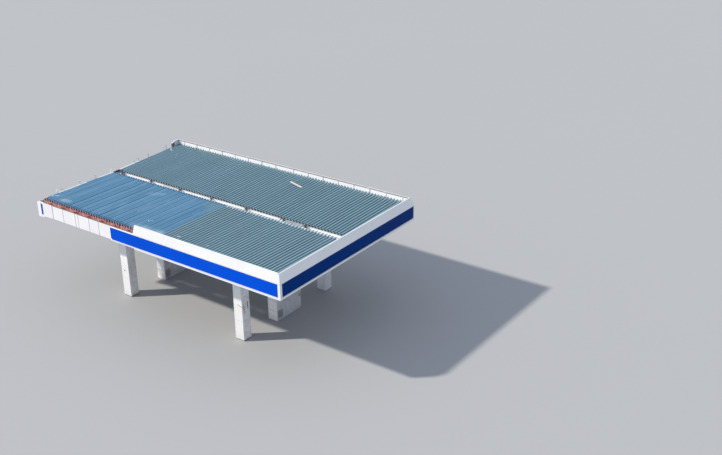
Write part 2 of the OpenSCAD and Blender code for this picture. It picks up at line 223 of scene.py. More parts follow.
    def wear(self, radius):
        """1 along sharp outer edges, 0 on the flats"""
        b = self.t.nodes.new("ShaderNodeBevel")
        b.samples = 3
        b.inputs["Radius"].default_value = radius
        g = self.t.nodes.new("ShaderNodeNewGeometry")
        d = self.t.nodes.new("ShaderNodeVectorMath")
        d.operation = "DOT_PRODUCT"
        self.t.links.new(b.outputs[0], d.inputs[0])
        self.t.links.new(g.outputs["Normal"], d.inputs[1])
        return self.step(d.outputs["Value"], 0.99, 0.85)

    def done(self, color, rough, metallic=0.0, spec=0.5, coat=0.0, coat_rough=0.1):
        self.put(self.p.inputs["Base Color"], color)
        self.put(self.p.inputs["Roughness"], rough)
        self.put(self.p.inputs["Metallic"], metallic)
        self.p.inputs["Specular IOR Level"].default_value = spec
        self.p.inputs["Coat Weight"].default_value = coat
        self.p.inputs["Coat Roughness"].default_value = coat_rough
        if self.bumps:
            self.t.links.new(self.bumps[-1], self.p.inputs["Normal"])
        return self.m


def coated(name, base, alt, dirt, rough=0.42, amount=0.35, run=0.25, grain=0.6, oil=0.004, edge=None):
    """factory-coated sheet: slow tone changes, dust, run marks, slight waviness"""
    g = Mat(name)
    tone = g.noise(0.55, 4, 0.55)
    c = g.mix(g.step(tone, 0.35, 0.68), base, alt)
    dust = g.mul(g.step(g.noise(3.1, 6, 0.66), 0.50, 0.78), amount)
    runs = g.mul(g.streaks(0.50, 0.74), run)
    c = g.mix(g.big(dust, runs), c, dirt)
    specks = g.step(g.cells(34.0), 0.10, 0.03)
    c = g.mix(g.mul(g.mul(specks, g.step(g.noise(1.7, 2), 0.5, 0.62)), grain), c, [v * 0.45 for v in dirt])
    if edge:
        c = g.mix(g.mul(g.wear(0.006), g.step(g.noise(11, 4), 0.45, 0.6)), c, edge)
    g.bump(g.noise(0.9, 2), oil, 0.5)
    g.bump(g.noise(420, 2), 0.0004, 0.25)
    return g.done(c, g.step(g.noise(2.3, 4), 0.25, 0.8, rough - 0.10, rough + 0.16), spec=0.4)


def plain_metal(name, base, alt, rough=0.35, metallic=0.85):
    """small fixings: plated steel with tarnish and fine scratches"""
    g = Mat(name)
    c = g.mix(g.step(g.noise(26, 5, 0.65), 0.38, 0.66), base, alt)
    g.bump(g.noise(300, 3), 0.0003, 0.4)
    return g.done(c, g.step(g.noise(60, 4), 0.3, 0.75, rough - 0.08, rough + 0.22), metallic=metallic)


WHITE = (0.865, 0.87, 0.88)
m_white = coated("white_coated_sheet", WHITE, (0.83, 0.83, 0.845), (0.62, 0.59, 0.58), amount=0.18, run=0.13)
# lit and shaded copies of one white: the sunlit front band gets a darker white (painted shade), the right band in shade
# gets a lighter white (painted light)
m_white_front_painted_shade = coated("white_coated_sheet_front_painted_shade", (0.785, 0.775, 0.755), (0.75, 0.74, 0.72), (0.56, 0.54, 0.53), amount=0.16, run=0.12)
m_white_side_painted_light = coated("white_coated_sheet_side_painted_light", (0.925, 0.925, 0.905), (0.89, 0.89, 0.875), (0.66, 0.63, 0.62), amount=0.16, run=0.10)
m_panel = coated("white_backing_panel", (0.885, 0.865, 0.865), (0.84, 0.82, 0.825), (0.58, 0.55, 0.53), amount=0.2, run=0.10)
m_lip = coated("white_lip_sheet", (0.82, 0.84, 0.88), (0.78, 0.80, 0.84), (0.48, 0.47, 0.47), amount=0.25, run=0.15)
m_grey_joint = coated("grey_joint_strip", (0.50, 0.49, 0.53), (0.43, 0.42, 0.46), (0.34, 0.32, 0.33), amount=0.3)
m_white_strip = coated("white_edge_strip", (0.88, 0.885, 0.90), (0.78, 0.79, 0.81), (0.55, 0.52, 0.50), amount=0.3)
# dark brown trim: painted shade along the top edge of the bare panels
m_trim_painted_shade = coated("edge_trim_painted_shade", (0.20, 0.145, 0.125), (0.27, 0.20, 0.17), (0.13, 0.10, 0.085), amount=0.4, run=0.0)
m_galv = plain_metal("galvanised_steel", (0.56, 0.58, 0.60), (0.38, 0.40, 0.42), 0.42, 0.7)
m_bolt = plain_metal("plated_bolt", (0.50, 0.50, 0.49), (0.30, 0.29, 0.28), 0.35, 0.85)


def white_cap():
    g = Mat("white_cap_sheet")
    c = g.mix(g.step(g.noise(0.6, 4), 0.35, 0.7), (0.90, 0.90, 0.91), (0.84, 0.84, 0.85))
    # grit lies along the back parapet, where the wind drops it
    old = g.mul(g.step(g.y, 5.55, 5.80), g.step(g.noise(2.2, 5, 0.65), 0.28, 0.55, 0.55, 1.0))
    c = g.mix(old, c, (0.625, 0.57, 0.535))
    # painted shade: the cap along the right side is greyer and bluer
    side = g.mul(g.step(g.x, 9.05, 9.12), g.step(g.y, 5.80, 5.70))
    c = g.mix(g.mul(side, 0.85), c, (0.65, 0.68, 0.70))
    c = g.mix(g.mul(g.step(g.noise(7, 6, 0.7), 0.55, 0.75), 0.3), c, (0.45, 0.42, 0.39))
    g.bump(g.noise(1.4, 3), 0.003, 0.5)
    g.bump(g.noise(420, 2), 0.0004, 0.25)
    return g.done(c, g.step(g.noise(3, 4), 0.25, 0.8, 0.36, 0.62), spec=0.4)


def lining_sheet():
    """inner lining of the back parapet: clean and bright, its first bay painted a darker teal as shade"""
    g = Mat("white_inner_lining")
    c = g.mix(g.step(g.noise(0.6, 4), 0.35, 0.7), (0.99, 0.965, 0.945), (0.95, 0.925, 0.905))
    # painted shade: the first bay at the left is tinted darker teal
    first = g.step(g.x, -8.45, -9.15)
    c = g.mix(g.mul(first, 0.8), c, (0.55, 0.66, 0.69))
    c = g.mix(g.mul(g.streaks(0.54, 0.76), 0.12), c, (0.66, 0.66, 0.66))
    foot = g.mul(g.step(g.z, 5.93, 5.86), g.step(g.noise(3.0, 4), 0.35, 0.65, 0.2, 0.9))
    c = g.mix(g.mul(foot, 0.4), c, (0.55, 0.58, 0.58))
    g.bump(g.noise(1.1, 3), 0.003, 0.5)
    g.bump(g.noise(420, 2), 0.0004, 0.25)
    return g.done(c, g.step(g.noise(2.6, 4), 0.25, 0.8, 0.34, 0.55), spec=0.4)


def blue_sheet(name, base, alt, dust):
    g = Mat(name)
    c = g.mix(g.step(g.noise(0.45, 3), 0.3, 0.72), base, alt)
    c = g.mix(g.mul(g.step(g.noise(5.5, 6, 0.68), 0.55, 0.85), 0.04), c, dust)
    # dust settles along the lower round edge, and thin run marks start at the top
    low = g.mul(g.step(g.z, Z_BLUE + 0.10, Z_BLUE + 0.01), g.step(g.noise(6, 5), 0.4, 0.7))
    c = g.mix(g.mul(low, 0.08), c, dust)
    c = g.mix(g.mul(g.streaks(0.58, 0.80), 0.03), c, dust)
    g.bump(g.noise(0.7, 2), 0.0015, 0.5)
    g.bump(g.noise(500, 2), 0.0002, 0.2)
    return g.done(c, g.step(g.noise(3.0, 5), 0.3, 0.8, 0.30, 0.42), spec=0.03)


m_cap = white_cap()
m_lining = lining_sheet()
m_blue = blue_sheet("blue_band_sheet", (0.0, 0.074, 0.60), (0.0, 0.080, 0.65), (0.06, 0.17, 0.56))
# the right band's blue is the same sheet with its shade painted in, much darker
m_blue_side_painted_shade = blue_sheet("blue_band_sheet_side_painted_shade", (0.0, 0.033, 0.190), (0.0, 0.038, 0.208), (0.02, 0.065, 0.21))
m_blue_slip = blue_sheet("blue_slip_sheet", (0.045, 0.085, 0.36), (0.055, 0.10, 0.40), (0.20, 0.24, 0.40))
m_blue_seam = blue_sheet("blue_seam_strip", (0.0, 0.060, 0.50), (0.0, 0.066, 0.55), (0.08, 0.16, 0.42))


def primer(name, base, alt, pale, dark, amount=0.5):
    """matt red oxide primer: brushed unevenly, dusty, rubbed along the edges"""
    g = Mat(name)
    c = g.mix(g.step(g.noise(0.8, 5, 0.6), 0.33, 0.68), base, alt)
    # brush strokes and lap marks run up the section
    lap = g.step(g.noise(1.0, 4, 0.6, k=(7.0, 7.0, 0.35)), 0.46, 0.66)
    c = g.mix(g.mul(lap, 0.42 * amount), c, pale)
    c = g.mix(g.mul(g.step(g.noise(4.5, 6, 0.7), 0.52, 0.74), 0.55 * amount), c, dark)
    c = g.mix(g.mul(g.step(g.noise(15, 4, 0.6), 0.60, 0.72), 0.35), c, pale)
    c = g.mix(g.mul(g.wear(0.005), g.step(g.noise(9, 4), 0.42, 0.6)), c, (0.33, 0.27, 0.25))
    g.bump(g.noise(30, 4), 0.0012, 0.4)
    g.bump(g.noise(260, 3), 0.0005, 0.35)
    return g.done(c, g.step(g.noise(6, 4), 0.3, 0.75, 0.62, 0.88), spec=0.25)


m_primer = primer("red_oxide_primer", (0.30, 0.095, 0.075), (0.24, 0.075, 0.060), (0.42, 0.19, 0.16), (0.14, 0.05, 0.04))
# paler copy of the same primer with sunlight painted in, for the front beam and studs that face the sun
m_primer_front_painted_sunlit = primer("red_oxide_primer_painted_sunlit", (0.72, 0.295, 0.275), (0.65, 0.255, 0.235), (0.80, 0.44, 0.41), (0.50, 0.19, 0.17), 0.6)


def roof_sheet():
    g = Mat("coated_profiled_sheet")
    n_sheet = g.math("FLOOR", g.mul(g.add(g.x, 8.718), 1 / (4 * PITCH)))
    half = g.step(g.y, -0.01, 0.01)
    tone = g.hashed(g.add(n_sheet, g.mul(half, 37.3)))
    base = g.mix(g.step(g.noise(0.35, 4, 0.55), 0.3, 0.7), (0.150, 0.262, 0.312), (0.164, 0.280, 0.330))
    c = g.shade(base, g.math("MULTIPLY_ADD", tone, 0.08, 0.96))
    h = g.sub(g.sub(g.z, g.mul(g.math("ABSOLUTE", g.y), FALL)), Z0)
    # on most of the roof the crests are paler and the valleys hold silt; on the left of the back half (the mask named
    # dusty) the shaded slopes and valleys are painted lighter and the crests darker, painted light that evens out the
    # rib shading
    dusty = g.mul(g.step(g.add(g.x, g.mul(g.y, 0.35)), -1.0, -6.0), half)
    crest = g.step(h, RIB_H - 0.012, RIB_H - 0.001)
    hi = g.mul(crest, g.step(g.noise(2.4, 5, 0.6), 0.25, 0.75, 0.25, 0.60))
    c = g.mix(g.mul(hi, g.sub(1.0, g.mul(dusty, 0.9))), c, (0.225, 0.36, 0.425))
    low = g.step(h, 0.030, 0.002)
    silt = g.mul(low, g.step(g.noise(1.3, 5, 0.65, k=(3, 0.6, 1)), 0.30, 0.70, 0.30, 0.75))
    c = g.mix(g.mul(silt, g.sub(1.0, dusty)), c, (0.045, 0.100, 0.115))
    c = g.mix(g.mul(g.mul(g.sub(1.0, crest), dusty), 0.80), c, (0.36, 0.50, 0.56))
    c = g.shade(c, g.sub(1.0, g.mul(g.mul(crest, dusty), 0.20)))
    # every second rib is a little paler
    pair = g.math("FRACT", g.mul(g.sub(g.x, DECK_X0 - 0.03), 0.5 / PITCH))
    alt = g.mul(g.step(pair, 0.46, 0.54), g.step(g.noise(0.7, 3, k=(1, 0.4, 1)), 0.30, 0.62, 0.35, 1.0))
    c = g.shade(c, g.math("MULTIPLY_ADD", alt, 0.13, 0.94))
    c = g.mix(g.mul(g.streaks(0.54, 0.76, 0.8, "y"), 0.22), c, (0.24, 0.33, 0.38))
    c = g.mix(g.mul(g.step(g.noise(0.9, 6, 0.7), 0.56, 0.74), 0.15), c, (0.28, 0.34, 0.37))
    mark = g.blob((-7.73, 4.11), (0.42, 0.035), 2.24, "xy", 0.15, 0.5, 6)
    c = g.mix(g.mul(mark, 0.35), c, (0.34, 0.46, 0.54))
    spangle = g.cells(95.0, out="Color")
    c = g.mix(g.mul(g.math("MULTIPLY", spangle, 1.0), 0.05), c, (0.30, 0.40, 0.46))
    specks = g.mul(g.step(g.cells(9.0), 0.055, 0.02), g.step(g.noise(1.2, 2), 0.45, 0.6))
    c = g.mix(g.mul(specks, 0.4), c, (0.42, 0.46, 0.48))
    c = g.mix(g.mul(g.step(g.noise(0.15, 2), 0.0, 1.0, 0.05, 0.09), g.step(g.x, -7.5, 1.5, 0.25, 1.0)), c, (0.14, 0.17, 0.09))
    c = g.mix(g.mul(g.step(g.y, 0.1, -0.1), 0.035), c, (0.46, 0.55, 0.64))
    g.bump(g.noise(2.0, 3, k=(1, 0.25, 1)), 0.002, 0.4)
    g.bump(g.noise(160, 3), 0.0003, 0.3)
    return g.done(c, g.step(g.noise(3.5, 5), 0.3, 0.75, 0.42, 0.66), metallic=0.0, spec=0.32)


def film():
    g = Mat("blue_protective_film")
    base = g.mix(g.step(g.noise(0.5, 4, 0.6, k=(1.6, 0.5, 1)), 0.3, 0.7), (0.068, 0.198, 0.321), (0.085, 0.227, 0.361))
    h = g.sub(g.sub(g.z, g.mul(g.math("ABSOLUTE", g.y), FALL)), Z0)
    # painted shade where the film sags into the grooves
    c = g.mix(g.step(h, 0.070, 0.020, 0.0, 0.38), base, (0.030, 0.105, 0.190))
    # painted soft shade along each lap of the sheets, and a painted highlight right of it
    lap = g.mul(g.add(g.x, 8.718 + 0.872), 1 / (4 * PITCH))
    u = g.math("FRACT", lap)
    near = g.mul(g.small(u, g.sub(1.0, u)), 4 * PITCH)
    part = g.sub(g.step(g.x, -7.60, -7.25), g.mul(g.step(g.x, -4.0, -3.8), 0.45))
    part = g.add(part, g.mul(g.step(g.x, -8.15, -8.50), 0.45))
    part = g.mul(part, g.step(g.noise(0.6, 3, k=(1, 0.5, 1)), 0.25, 0.6, 0.65, 1.0))
    c = g.mix(g.mul(g.mul(g.step(near, 0.165, 0.0), part), 0.62), c, (0.046, 0.146, 0.262))
    pale = g.mul(g.mul(g.step(u, 0.05, 0.17), g.step(u, 0.48, 0.18)), part)
    c = g.mix(g.mul(pale, 0.42), c, (0.160, 0.330, 0.455))
    # milky where it has let go of the sheet
    loose = g.mul(g.step(g.noise(1.1, 5, 0.62, k=(1.0, 0.32, 1)), 0.55, 0.74), 0.34)
    c = g.mix(loose, c, (0.20, 0.36, 0.48))
    ridge = g.mul(g.step(h, RIB_H + 0.004, RIB_H + 0.010), 0.7)
    c = g.mix(ridge, c, (0.19, 0.36, 0.50))
    edge = g.mul(g.mul(g.step(g.y, -4.75, -5.35), g.step(g.x, -2.3, -0.9)), g.step(g.noise(2.6, 5), 0.32, 0.6, 0.25, 0.9))
    c = g.mix(edge, c, (0.36, 0.47, 0.55))
    p1 = g.blob((-7.78, -5.13), (0.42, 0.20), 0.1, "xy", 0.3, 0.3, 5)
    p2 = g.blob((-4.05, -1.20), (0.55, 0.24), 0.5, "xy", 0.35, 0.4, 3)
    c = g.mix(g.mul(p1, 0.55), c, (0.34, 0.45, 0.52))
    c = g.mix(g.mul(p2, 0.30), c, (0.30, 0.44, 0.54))
    end = g.step(g.add(g.add(g.mul(g.x, 0.73), g.mul(g.y, 0.81)), g.mul(g.noise(1.8, 4), 0.25)), -1.15, -0.62)
    c = g.mix(g.mul(end, 0.62), c, (0.138, 0.250, 0.312))
    g.bump(g.noise(1.0, 5, 0.6, k=(26, 2.4, 4)), 0.004, 0.6)
    g.bump(g.noise(60, 4), 0.0008, 0.4)
    return g.done(c, g.step(g.noise(4, 5), 0.3, 0.75, 0.26, 0.50), spec=0.35)


m_roof = roof_sheet()
m_film = film()


def gutter():
    g = Mat("white_gutter_sheet")
    c = g.mix(g.step(g.noise(0.8, 4), 0.35, 0.68), (0.93, 0.935, 0.945), (0.88, 0.89, 0.905))
    floor = g.step(g.z, GUT_Z - GUT_D + 0.03, GUT_Z - GUT_D - 0.002)
    silt = g.mul(floor, g.step(g.noise(1.6, 5, 0.65, k=(0.6, 3, 1)), 0.3, 0.65, 0.10, 0.55))
    c = g.mix(silt, c, (0.46, 0.45, 0.43))
    line = g.mul(g.step(g.z, GUT_Z - GUT_D + 0.05, GUT_Z - GUT_D + 0.02), g.step(g.noise(3.5, 4), 0.4, 0.6))
    c = g.mix(g.mul(line, 0.4), c, (0.55, 0.52, 0.47))
    # a duller length towards the right, where old straps and tape lie
    dull = g.mul(g.step(g.x, 4.2, 4.6), g.step(g.x, 6.2, 5.8))
    c = g.mix(g.mul(dull, g.step(g.noise(4.0, 4, k=(2.5, 1, 1)), 0.40, 0.56, 0.25, 0.80)), c, (0.42, 0.42, 0.46))
    # runs of dirt under the sheet ends, most between two of the joints
    zone = g.mul(g.step(g.x, -5.35, -5.15), g.step(g.x, -3.55, -3.75))
    pitch = g.math("FRACT", g.mul(g.sub(g.x, DECK_X0 + 0.19), 1 / PITCH))
    run = g.big(g.step(pitch, 0.32, 0.12), g.step(pitch, 0.68, 0.88))
    run = g.mul(run, g.step(g.noise(2.2, 4, k=(1, 1, 0.2)), 0.34, 0.62, 0.25, 1.0))
    c = g.mix(g.mul(run, 0.30), c, (0.56, 0.57, 0.57))
    c = g.mix(g.mul(zone, 0.52), c, (0.47, 0.49, 0.51))
    g.bump(g.noise(1.2, 3), 0.003, 0.4)
    return g.done(c, g.step(g.noise(5, 4), 0.3, 0.75, 0.32, 0.6), spec=0.4)


def column_board(name="white_column_board", base=(0.97, 0.97, 0.965), alt=(0.93, 0.93, 0.925), marks=0.42, low=(0.865, 0.845, 0.825), dull=0.0):
    g = Mat(name)
    c = g.mix(g.step(g.noise(1.3, 5, 0.6), 0.34, 0.68), base, alt)
    # painted shade: the lower part, where the sun falls under the canopy's edge, is darker
    c = g.mix(g.mul(g.step(g.z, 2.85, 1.9), g.step(g.noise(1.8, 5, 0.6), 0.25, 0.6, 0.7, 1.0)), c, low)
    # the faces turned to the right are scuffed and mottled; the dull factor darkens them further as painted shade
    side = g.step(g.math("ABSOLUTE", g.sub(g.math("ABSOLUTE", g.sub(g.math("ABSOLUTE", g.x), 4.53)), 0.0)), 0.303, 0.3045)
    mott = g.step(g.noise(3.4, 7, 0.72, k=(1, 1, 0.8)), 0.44, 0.62)
    c = g.mix(g.mul(g.mul(side, mott), marks), c, (0.50, 0.47, 0.49))
    c = g.shade(c, g.sub(1.0, g.mul(side, dull)))
    c = g.mix(g.mul(g.streaks(0.52, 0.74), 0.12), c, (0.62, 0.60, 0.60))
    foot = g.mul(g.step(g.z, 0.60, 0.05), g.step(g.noise(4, 6, 0.7), 0.35, 0.66, 0.2, 1.0))
    c = g.mix(g.mul(foot, 0.28), c, (0.55, 0.50, 0.46))
    c = g.mix(g.mul(g.step(g.noise(22, 5, 0.7), 0.62, 0.72), 0.2), c, (0.45, 0.42, 0.40))
    # smears on the front right column
    fr = g.mul(g.step(g.y, -3.90, -3.945), g.step(g.x, 4.0, 4.2))
    smear = g.mul(fr, g.blob((4.68, 2.16), (0.20, 0.030), -0.33, "xz", 0.22, 0.35, 8))
    c = g.mix(g.mul(smear, 0.75), c, (0.30, 0.27, 0.26))
    rt = g.mul(g.step(g.x, 4.80, 4.83), g.step(g.y, -3.2, -3.4))
    v1 = g.mul(rt, g.blob((-3.505, 2.12), (0.040, 0.25), 0.05, "yz", 0.2, 0.35, 8))
    v2 = g.mul(rt, g.blob((-3.80, 2.05), (0.050, 0.20), 0.1, "yz", 0.25, 0.4, 8))
    c = g.mix(g.mul(v1, 0.85), c, (0.16, 0.14, 0.15))
    c = g.mix(g.mul(v2, 0.55), c, (0.26, 0.23, 0.24))
    g.bump(g.noise(2.5, 4), 0.004, 0.5)
    g.bump(g.noise(120, 4), 0.0008, 0.35)
    return g.done(c, g.step(g.noise(5, 5), 0.3, 0.75, 0.50, 0.75), spec=0.3)


def pier_board():
    g = Mat("dirty_pier_board")
    front = g.step(g.y, -1.170, -1.1735)
    c = g.mix(g.step(g.noise(1.1, 5, 0.62), 0.34, 0.66), (0.68, 0.675, 0.67), (0.58, 0.575, 0.575))
    c = g.mix(g.mul(g.step(g.noise(2.8, 7, 0.72), 0.46, 0.64), 0.40), c, (0.42, 0.39, 0.385))
    # painted light: the front face is much paler than the sides, for light thrown up from the sunlit floor in front
    c = g.mix(g.mul(front, 0.96), c, (0.99, 0.975, 0.93))
    smut = g.mul(front, g.step(g.noise(2.6, 6, 0.7, k=(1, 1, 1.6)), 0.50, 0.66))
    c = g.mix(g.mul(smut, 0.28), c, (0.55, 0.52, 0.49))
    c = g.mix(g.mul(g.streaks(0.48, 0.70), 0.35), c, (0.76, 0.75, 0.74))
    # faint level lines of the boards
    band = g.math("FRACT", g.mul(g.z, 1 / 0.31))
    line = g.big(g.step(band, 0.05, 0.0), g.step(band, 0.95, 1.0))
    c = g.mix(g.mul(line, 0.26), c, (0.36, 0.34, 0.34))
    foot = g.mul(g.step(g.z, 0.45, 0.02), g.step(g.noise(4, 6, 0.7), 0.32, 0.62, 0.2, 1.0))
    c = g.mix(g.mul(foot, g.sub(0.32, g.mul(front, 0.20))), c, (0.38, 0.34, 0.32))
    for (cy, cz, ry, rz, k, col) in ((-0.93, 0.42, 0.26, 0.30, 0.72, (0.20, 0.18, 0.19)), (0.90, 0.88, 0.12, 0.10, 0.7, (0.22, 0.13, 0.10)),
                                     (-0.45, 1.30, 0.40, 0.22, 0.35, (0.36, 0.33, 0.33)), (0.35, 0.65, 0.30, 0.35, 0.3, (0.72, 0.70, 0.68))):
        c = g.mix(g.mul(g.mul(g.blob((cy, cz), (ry, rz), 0.2, "yz", 0.4, 0.4, 4), k), g.sub(1.0, front)), c, col)
    g.bump(line, -0.002, 0.6)
    g.bump(g.noise(3.0, 5), 0.004, 0.5)
    g.bump(g.noise(110, 4), 0.0008, 0.4)
    return g.done(c, g.step(g.noise(5, 5), 0.3, 0.75, 0.55, 0.8), spec=0.25)


def gutter_strap():
    """strap over the gutter: pale in front, dark where it meets the back wall"""
    g = Mat("gutter_strap_sheet")
    c = g.mix(g.step(g.noise(1.5, 4), 0.3, 0.7), (0.84, 0.85, 0.86), (0.72, 0.73, 0.74))
    dark_back = g.step(g.add(g.y, g.mul(g.noise(9, 4), 0.05)), 0.165, 0.215)
    c = g.mix(dark_back, c, g.mix(g.noise(14, 4), (0.055, 0.048, 0.055), (0.10, 0.092, 0.098)))
    g.bump(g.noise(30, 4), 0.001, 0.4)
    return g.done(c, g.step(g.noise(6, 4), 0.3, 0.75, 0.45, 0.7), spec=0.3)


m_gutter = gutter()
m_gutter_strap = gutter_strap()
m_column = column_board()
m_column_back = column_board("lilac_column_board", (0.99, 0.97, 0.975), (0.97, 0.95, 0.955), 0.22, (0.98, 0.96, 0.965), 0.17)
m_pier = pier_board()


def simple(name, base, alt, scale, rough, k=None, bump_d=0.001, spec=0.3, detail=6.0, lo=0.36, hi=0.66):
    g = Mat(name)
    n = g.noise(scale, detail, 0.65, k=k)
    c = g.mix(g.step(n, lo, hi), base, alt)
    c = g.mix(g.mul(g.step(g.noise(scale * 4.3, 4, 0.6), 0.55, 0.75), 0.3), c, [v * 0.6 for v in base])
    g.bump(g.noise(scale * 6, 4, k=k), bump_d, 0.5)
    return g.done(c, g.step(g.noise(scale * 2, 4), 0.3, 0.75, rough - 0.1, rough + 0.12), spec=spec)


# real foam closures whose near-black tone is painted shade inside the rib ends
m_foam = simple("dark_foam_closure_painted_shade", (0.012, 0.013, 0.030), (0.022, 0.022, 0.045), 40, 0.85, bump_d=0.002, spec=0.1)
# dark drip strip: its tone is painted shade along the back sheets' edge over the gutter
m_drip_painted_shade = simple("drip_strip_painted_shade", (0.16, 0.185, 0.19), (0.27, 0.295, 0.30), 5, 0.5, k=(2, 1, 1))
m_foam_grey = simple("grey_foam_closure_painted_shade", (0.050, 0.055, 0.055), (0.085, 0.09, 0.085), 40, 0.85, bump_d=0.002, spec=0.1)
m_comb_pink = simple("pale_primed_closure", (0.58, 0.355, 0.36), (0.66, 0.46, 0.46), 8, 0.7)
# pale and dark lath tones: painted light and painted shadow on the front beam
m_upright = simple("primed_upright_painted_light", (0.72, 0.40, 0.385), (0.78, 0.48, 0.46), 7, 0.7)
m_upright_mid = simple("primed_lath", (0.54, 0.22, 0.21), (0.60, 0.27, 0.26), 7, 0.7)
m_upright_painted_shadow = simple("primed_lath_painted_shadow", (0.30, 0.105, 0.105), (0.37, 0.135, 0.135), 7, 0.75)
# near-black end caps: painted shadow under the rib ends
m_end_cap_painted_shadow = simple("rib_end_cap_painted_shadow", (0.016, 0.020, 0.042), (0.034, 0.044, 0.084), 9, 0.6, spec=0.2)
m_return_inner = simple("pale_unlined_board", (0.80, 0.87, 0.89), (0.88, 0.93, 0.94), 5, 0.7)
m_dull_cover = simple("dull_zinc_cover", (0.30, 0.35, 0.35), (0.46, 0.50, 0.50), 4.5, 0.5, k=(2, 1, 1))
m_strap_dark = simple("dark_gutter_strap", (0.050, 0.034, 0.045), (0.085, 0.065, 0.075), 9, 0.6)
m_strap_grey = simple("grey_gutter_strap", (0.060, 0.058, 0.062), (0.095, 0.092, 0.095), 9, 0.6)
# lilac white and dark board: painted shade on the short return at the back left
m_white_painted_lilac_shade = simple("white_sheet_painted_lilac_shade", (0.72, 0.70, 0.80), (0.64, 0.62, 0.72), 5, 0.6)
m_board_painted_shade = simple("board_painted_shade", (0.17, 0.155, 0.19), (0.26, 0.24, 0.28), 6, 0.8)
m_rubber = simple("black_washer_rubber", (0.02, 0.02, 0.022), (0.045, 0.045, 0.05), 50, 0.7)
m_timber = simple("sawn_timber", (0.80, 0.75, 0.66), (0.66, 0.59, 0.50), 3.0, 0.75, k=(2.0, 14.0, 14.0), bump_d=0.002, spec=0.15)
m_scrap = simple("milky_film_scrap", (0.50, 0.60, 0.68), (0.40, 0.50, 0.60), 9, 0.4, bump_d=0.002, spec=0.4)
m_dark_cover = simple("dark_gutter_cover", (0.075, 0.085, 0.105), (0.12, 0.13, 0.15), 5, 0.6)
m_pink_strap = simple("primed_strap", (0.78, 0.62, 0.60), (0.84, 0.72, 0.70), 7, 0.6)
m_pale_strap = simple("pale_strap", (0.93, 0.90, 0.87), (0.84, 0.81, 0.78), 8, 0.5)
m_beige_plate = simple("beige_corner_plate", (0.62, 0.45, 0.39), (0.52, 0.37, 0.32), 6, 0.6)
m_mark_strip = simple("grey_cover_strip", (0.46, 0.46, 0.50), (0.36, 0.36, 0.40), 6, 0.5)
m_dark_strip = simple("dark_cover_strip", (0.14, 0.14, 0.17), (0.22, 0.22, 0.25), 6, 0.5)
m_bead = simple("corner_bead_metal", (0.80, 0.80, 0.81), (0.68, 0.68, 0.70), 8, 0.38, spec=0.5)
m_sealant = simple("grey_sealant", (0.30, 0.31, 0.33), (0.40, 0.41, 0.43), 30, 0.6)
m_zinc_pipe = simple("zinc_pipe", (0.42, 0.46, 0.50), (0.33, 0.37, 0.41), 6, 0.42, k=(1, 1, 0.3), spec=0.5)


def fill(name, mat):
    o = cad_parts[name]
    if not o.material_slots:
        o.data.materials.append(mat)
    for s in o.material_slots:
        s.link = "OBJECT"
        s.material = mat


for n in ("base_plates", "steel_posts", "cross_girders", "purlin_stools", "purlins", "edge_beam_back", "edge_beam_left",
          "edge_beam_right", "gutter_ties", "fascia_studs_back", "fascia_studs_ends", "fascia_arms", "fascia_rails"):
    fill(n, m_primer)
for n in ("edge_beam_front", "fascia_studs_front"):
    fill(n, m_primer_front_painted_sunlit)
for n in ("gutter_floor", "gutter_walls"):
    fill(n, m_gutter)
fill("gutter_straps", m_gutter_strap)
fill("downpipes", m_zinc_pipe)
for n in ("roof_sheets_filmed", "roof_sheets_front", "roof_sheets_back"):
    fill(n, m_roof)
fill("column_cladding_front", m_column)
fill("column_cladding_back", m_column_back)
for n in ("pier_cladding_left", "pier_cladding_right"):
    fill(n, m_pier)
for n in ("backing_panels_front", "backing_panels_right", "backing_panels_back"):
    fill(n, m_panel)
fill("blue_band_front", m_blue)
fill("blue_band_back", m_blue)
fill("blue_band_right", m_blue_side_painted_shade)
for n in ("bottom_lip_front", "bottom_lip_right", "bottom_lip_back"):
    fill(n, m_lip)
for n in ("upper_band_front", "upper_band_right", "upper_band_back", "corner_posts", "corner_unit_front_left",
          "parapet_lining_front", "parapet_lining_right", "parapet_lining_back"):
    fill(n, m_white)
fill("parapet_cap", m_cap)
fill("parapet_lining_back", m_lining)
# painted shade on the sunlit front band; painted light on the shaded right band and its lip
fill("upper_band_front", m_white_front_painted_shade)
fill("upper_band_right", m_white_side_painted_light)
fill("bottom_lip_right", m_white_side_painted_light)


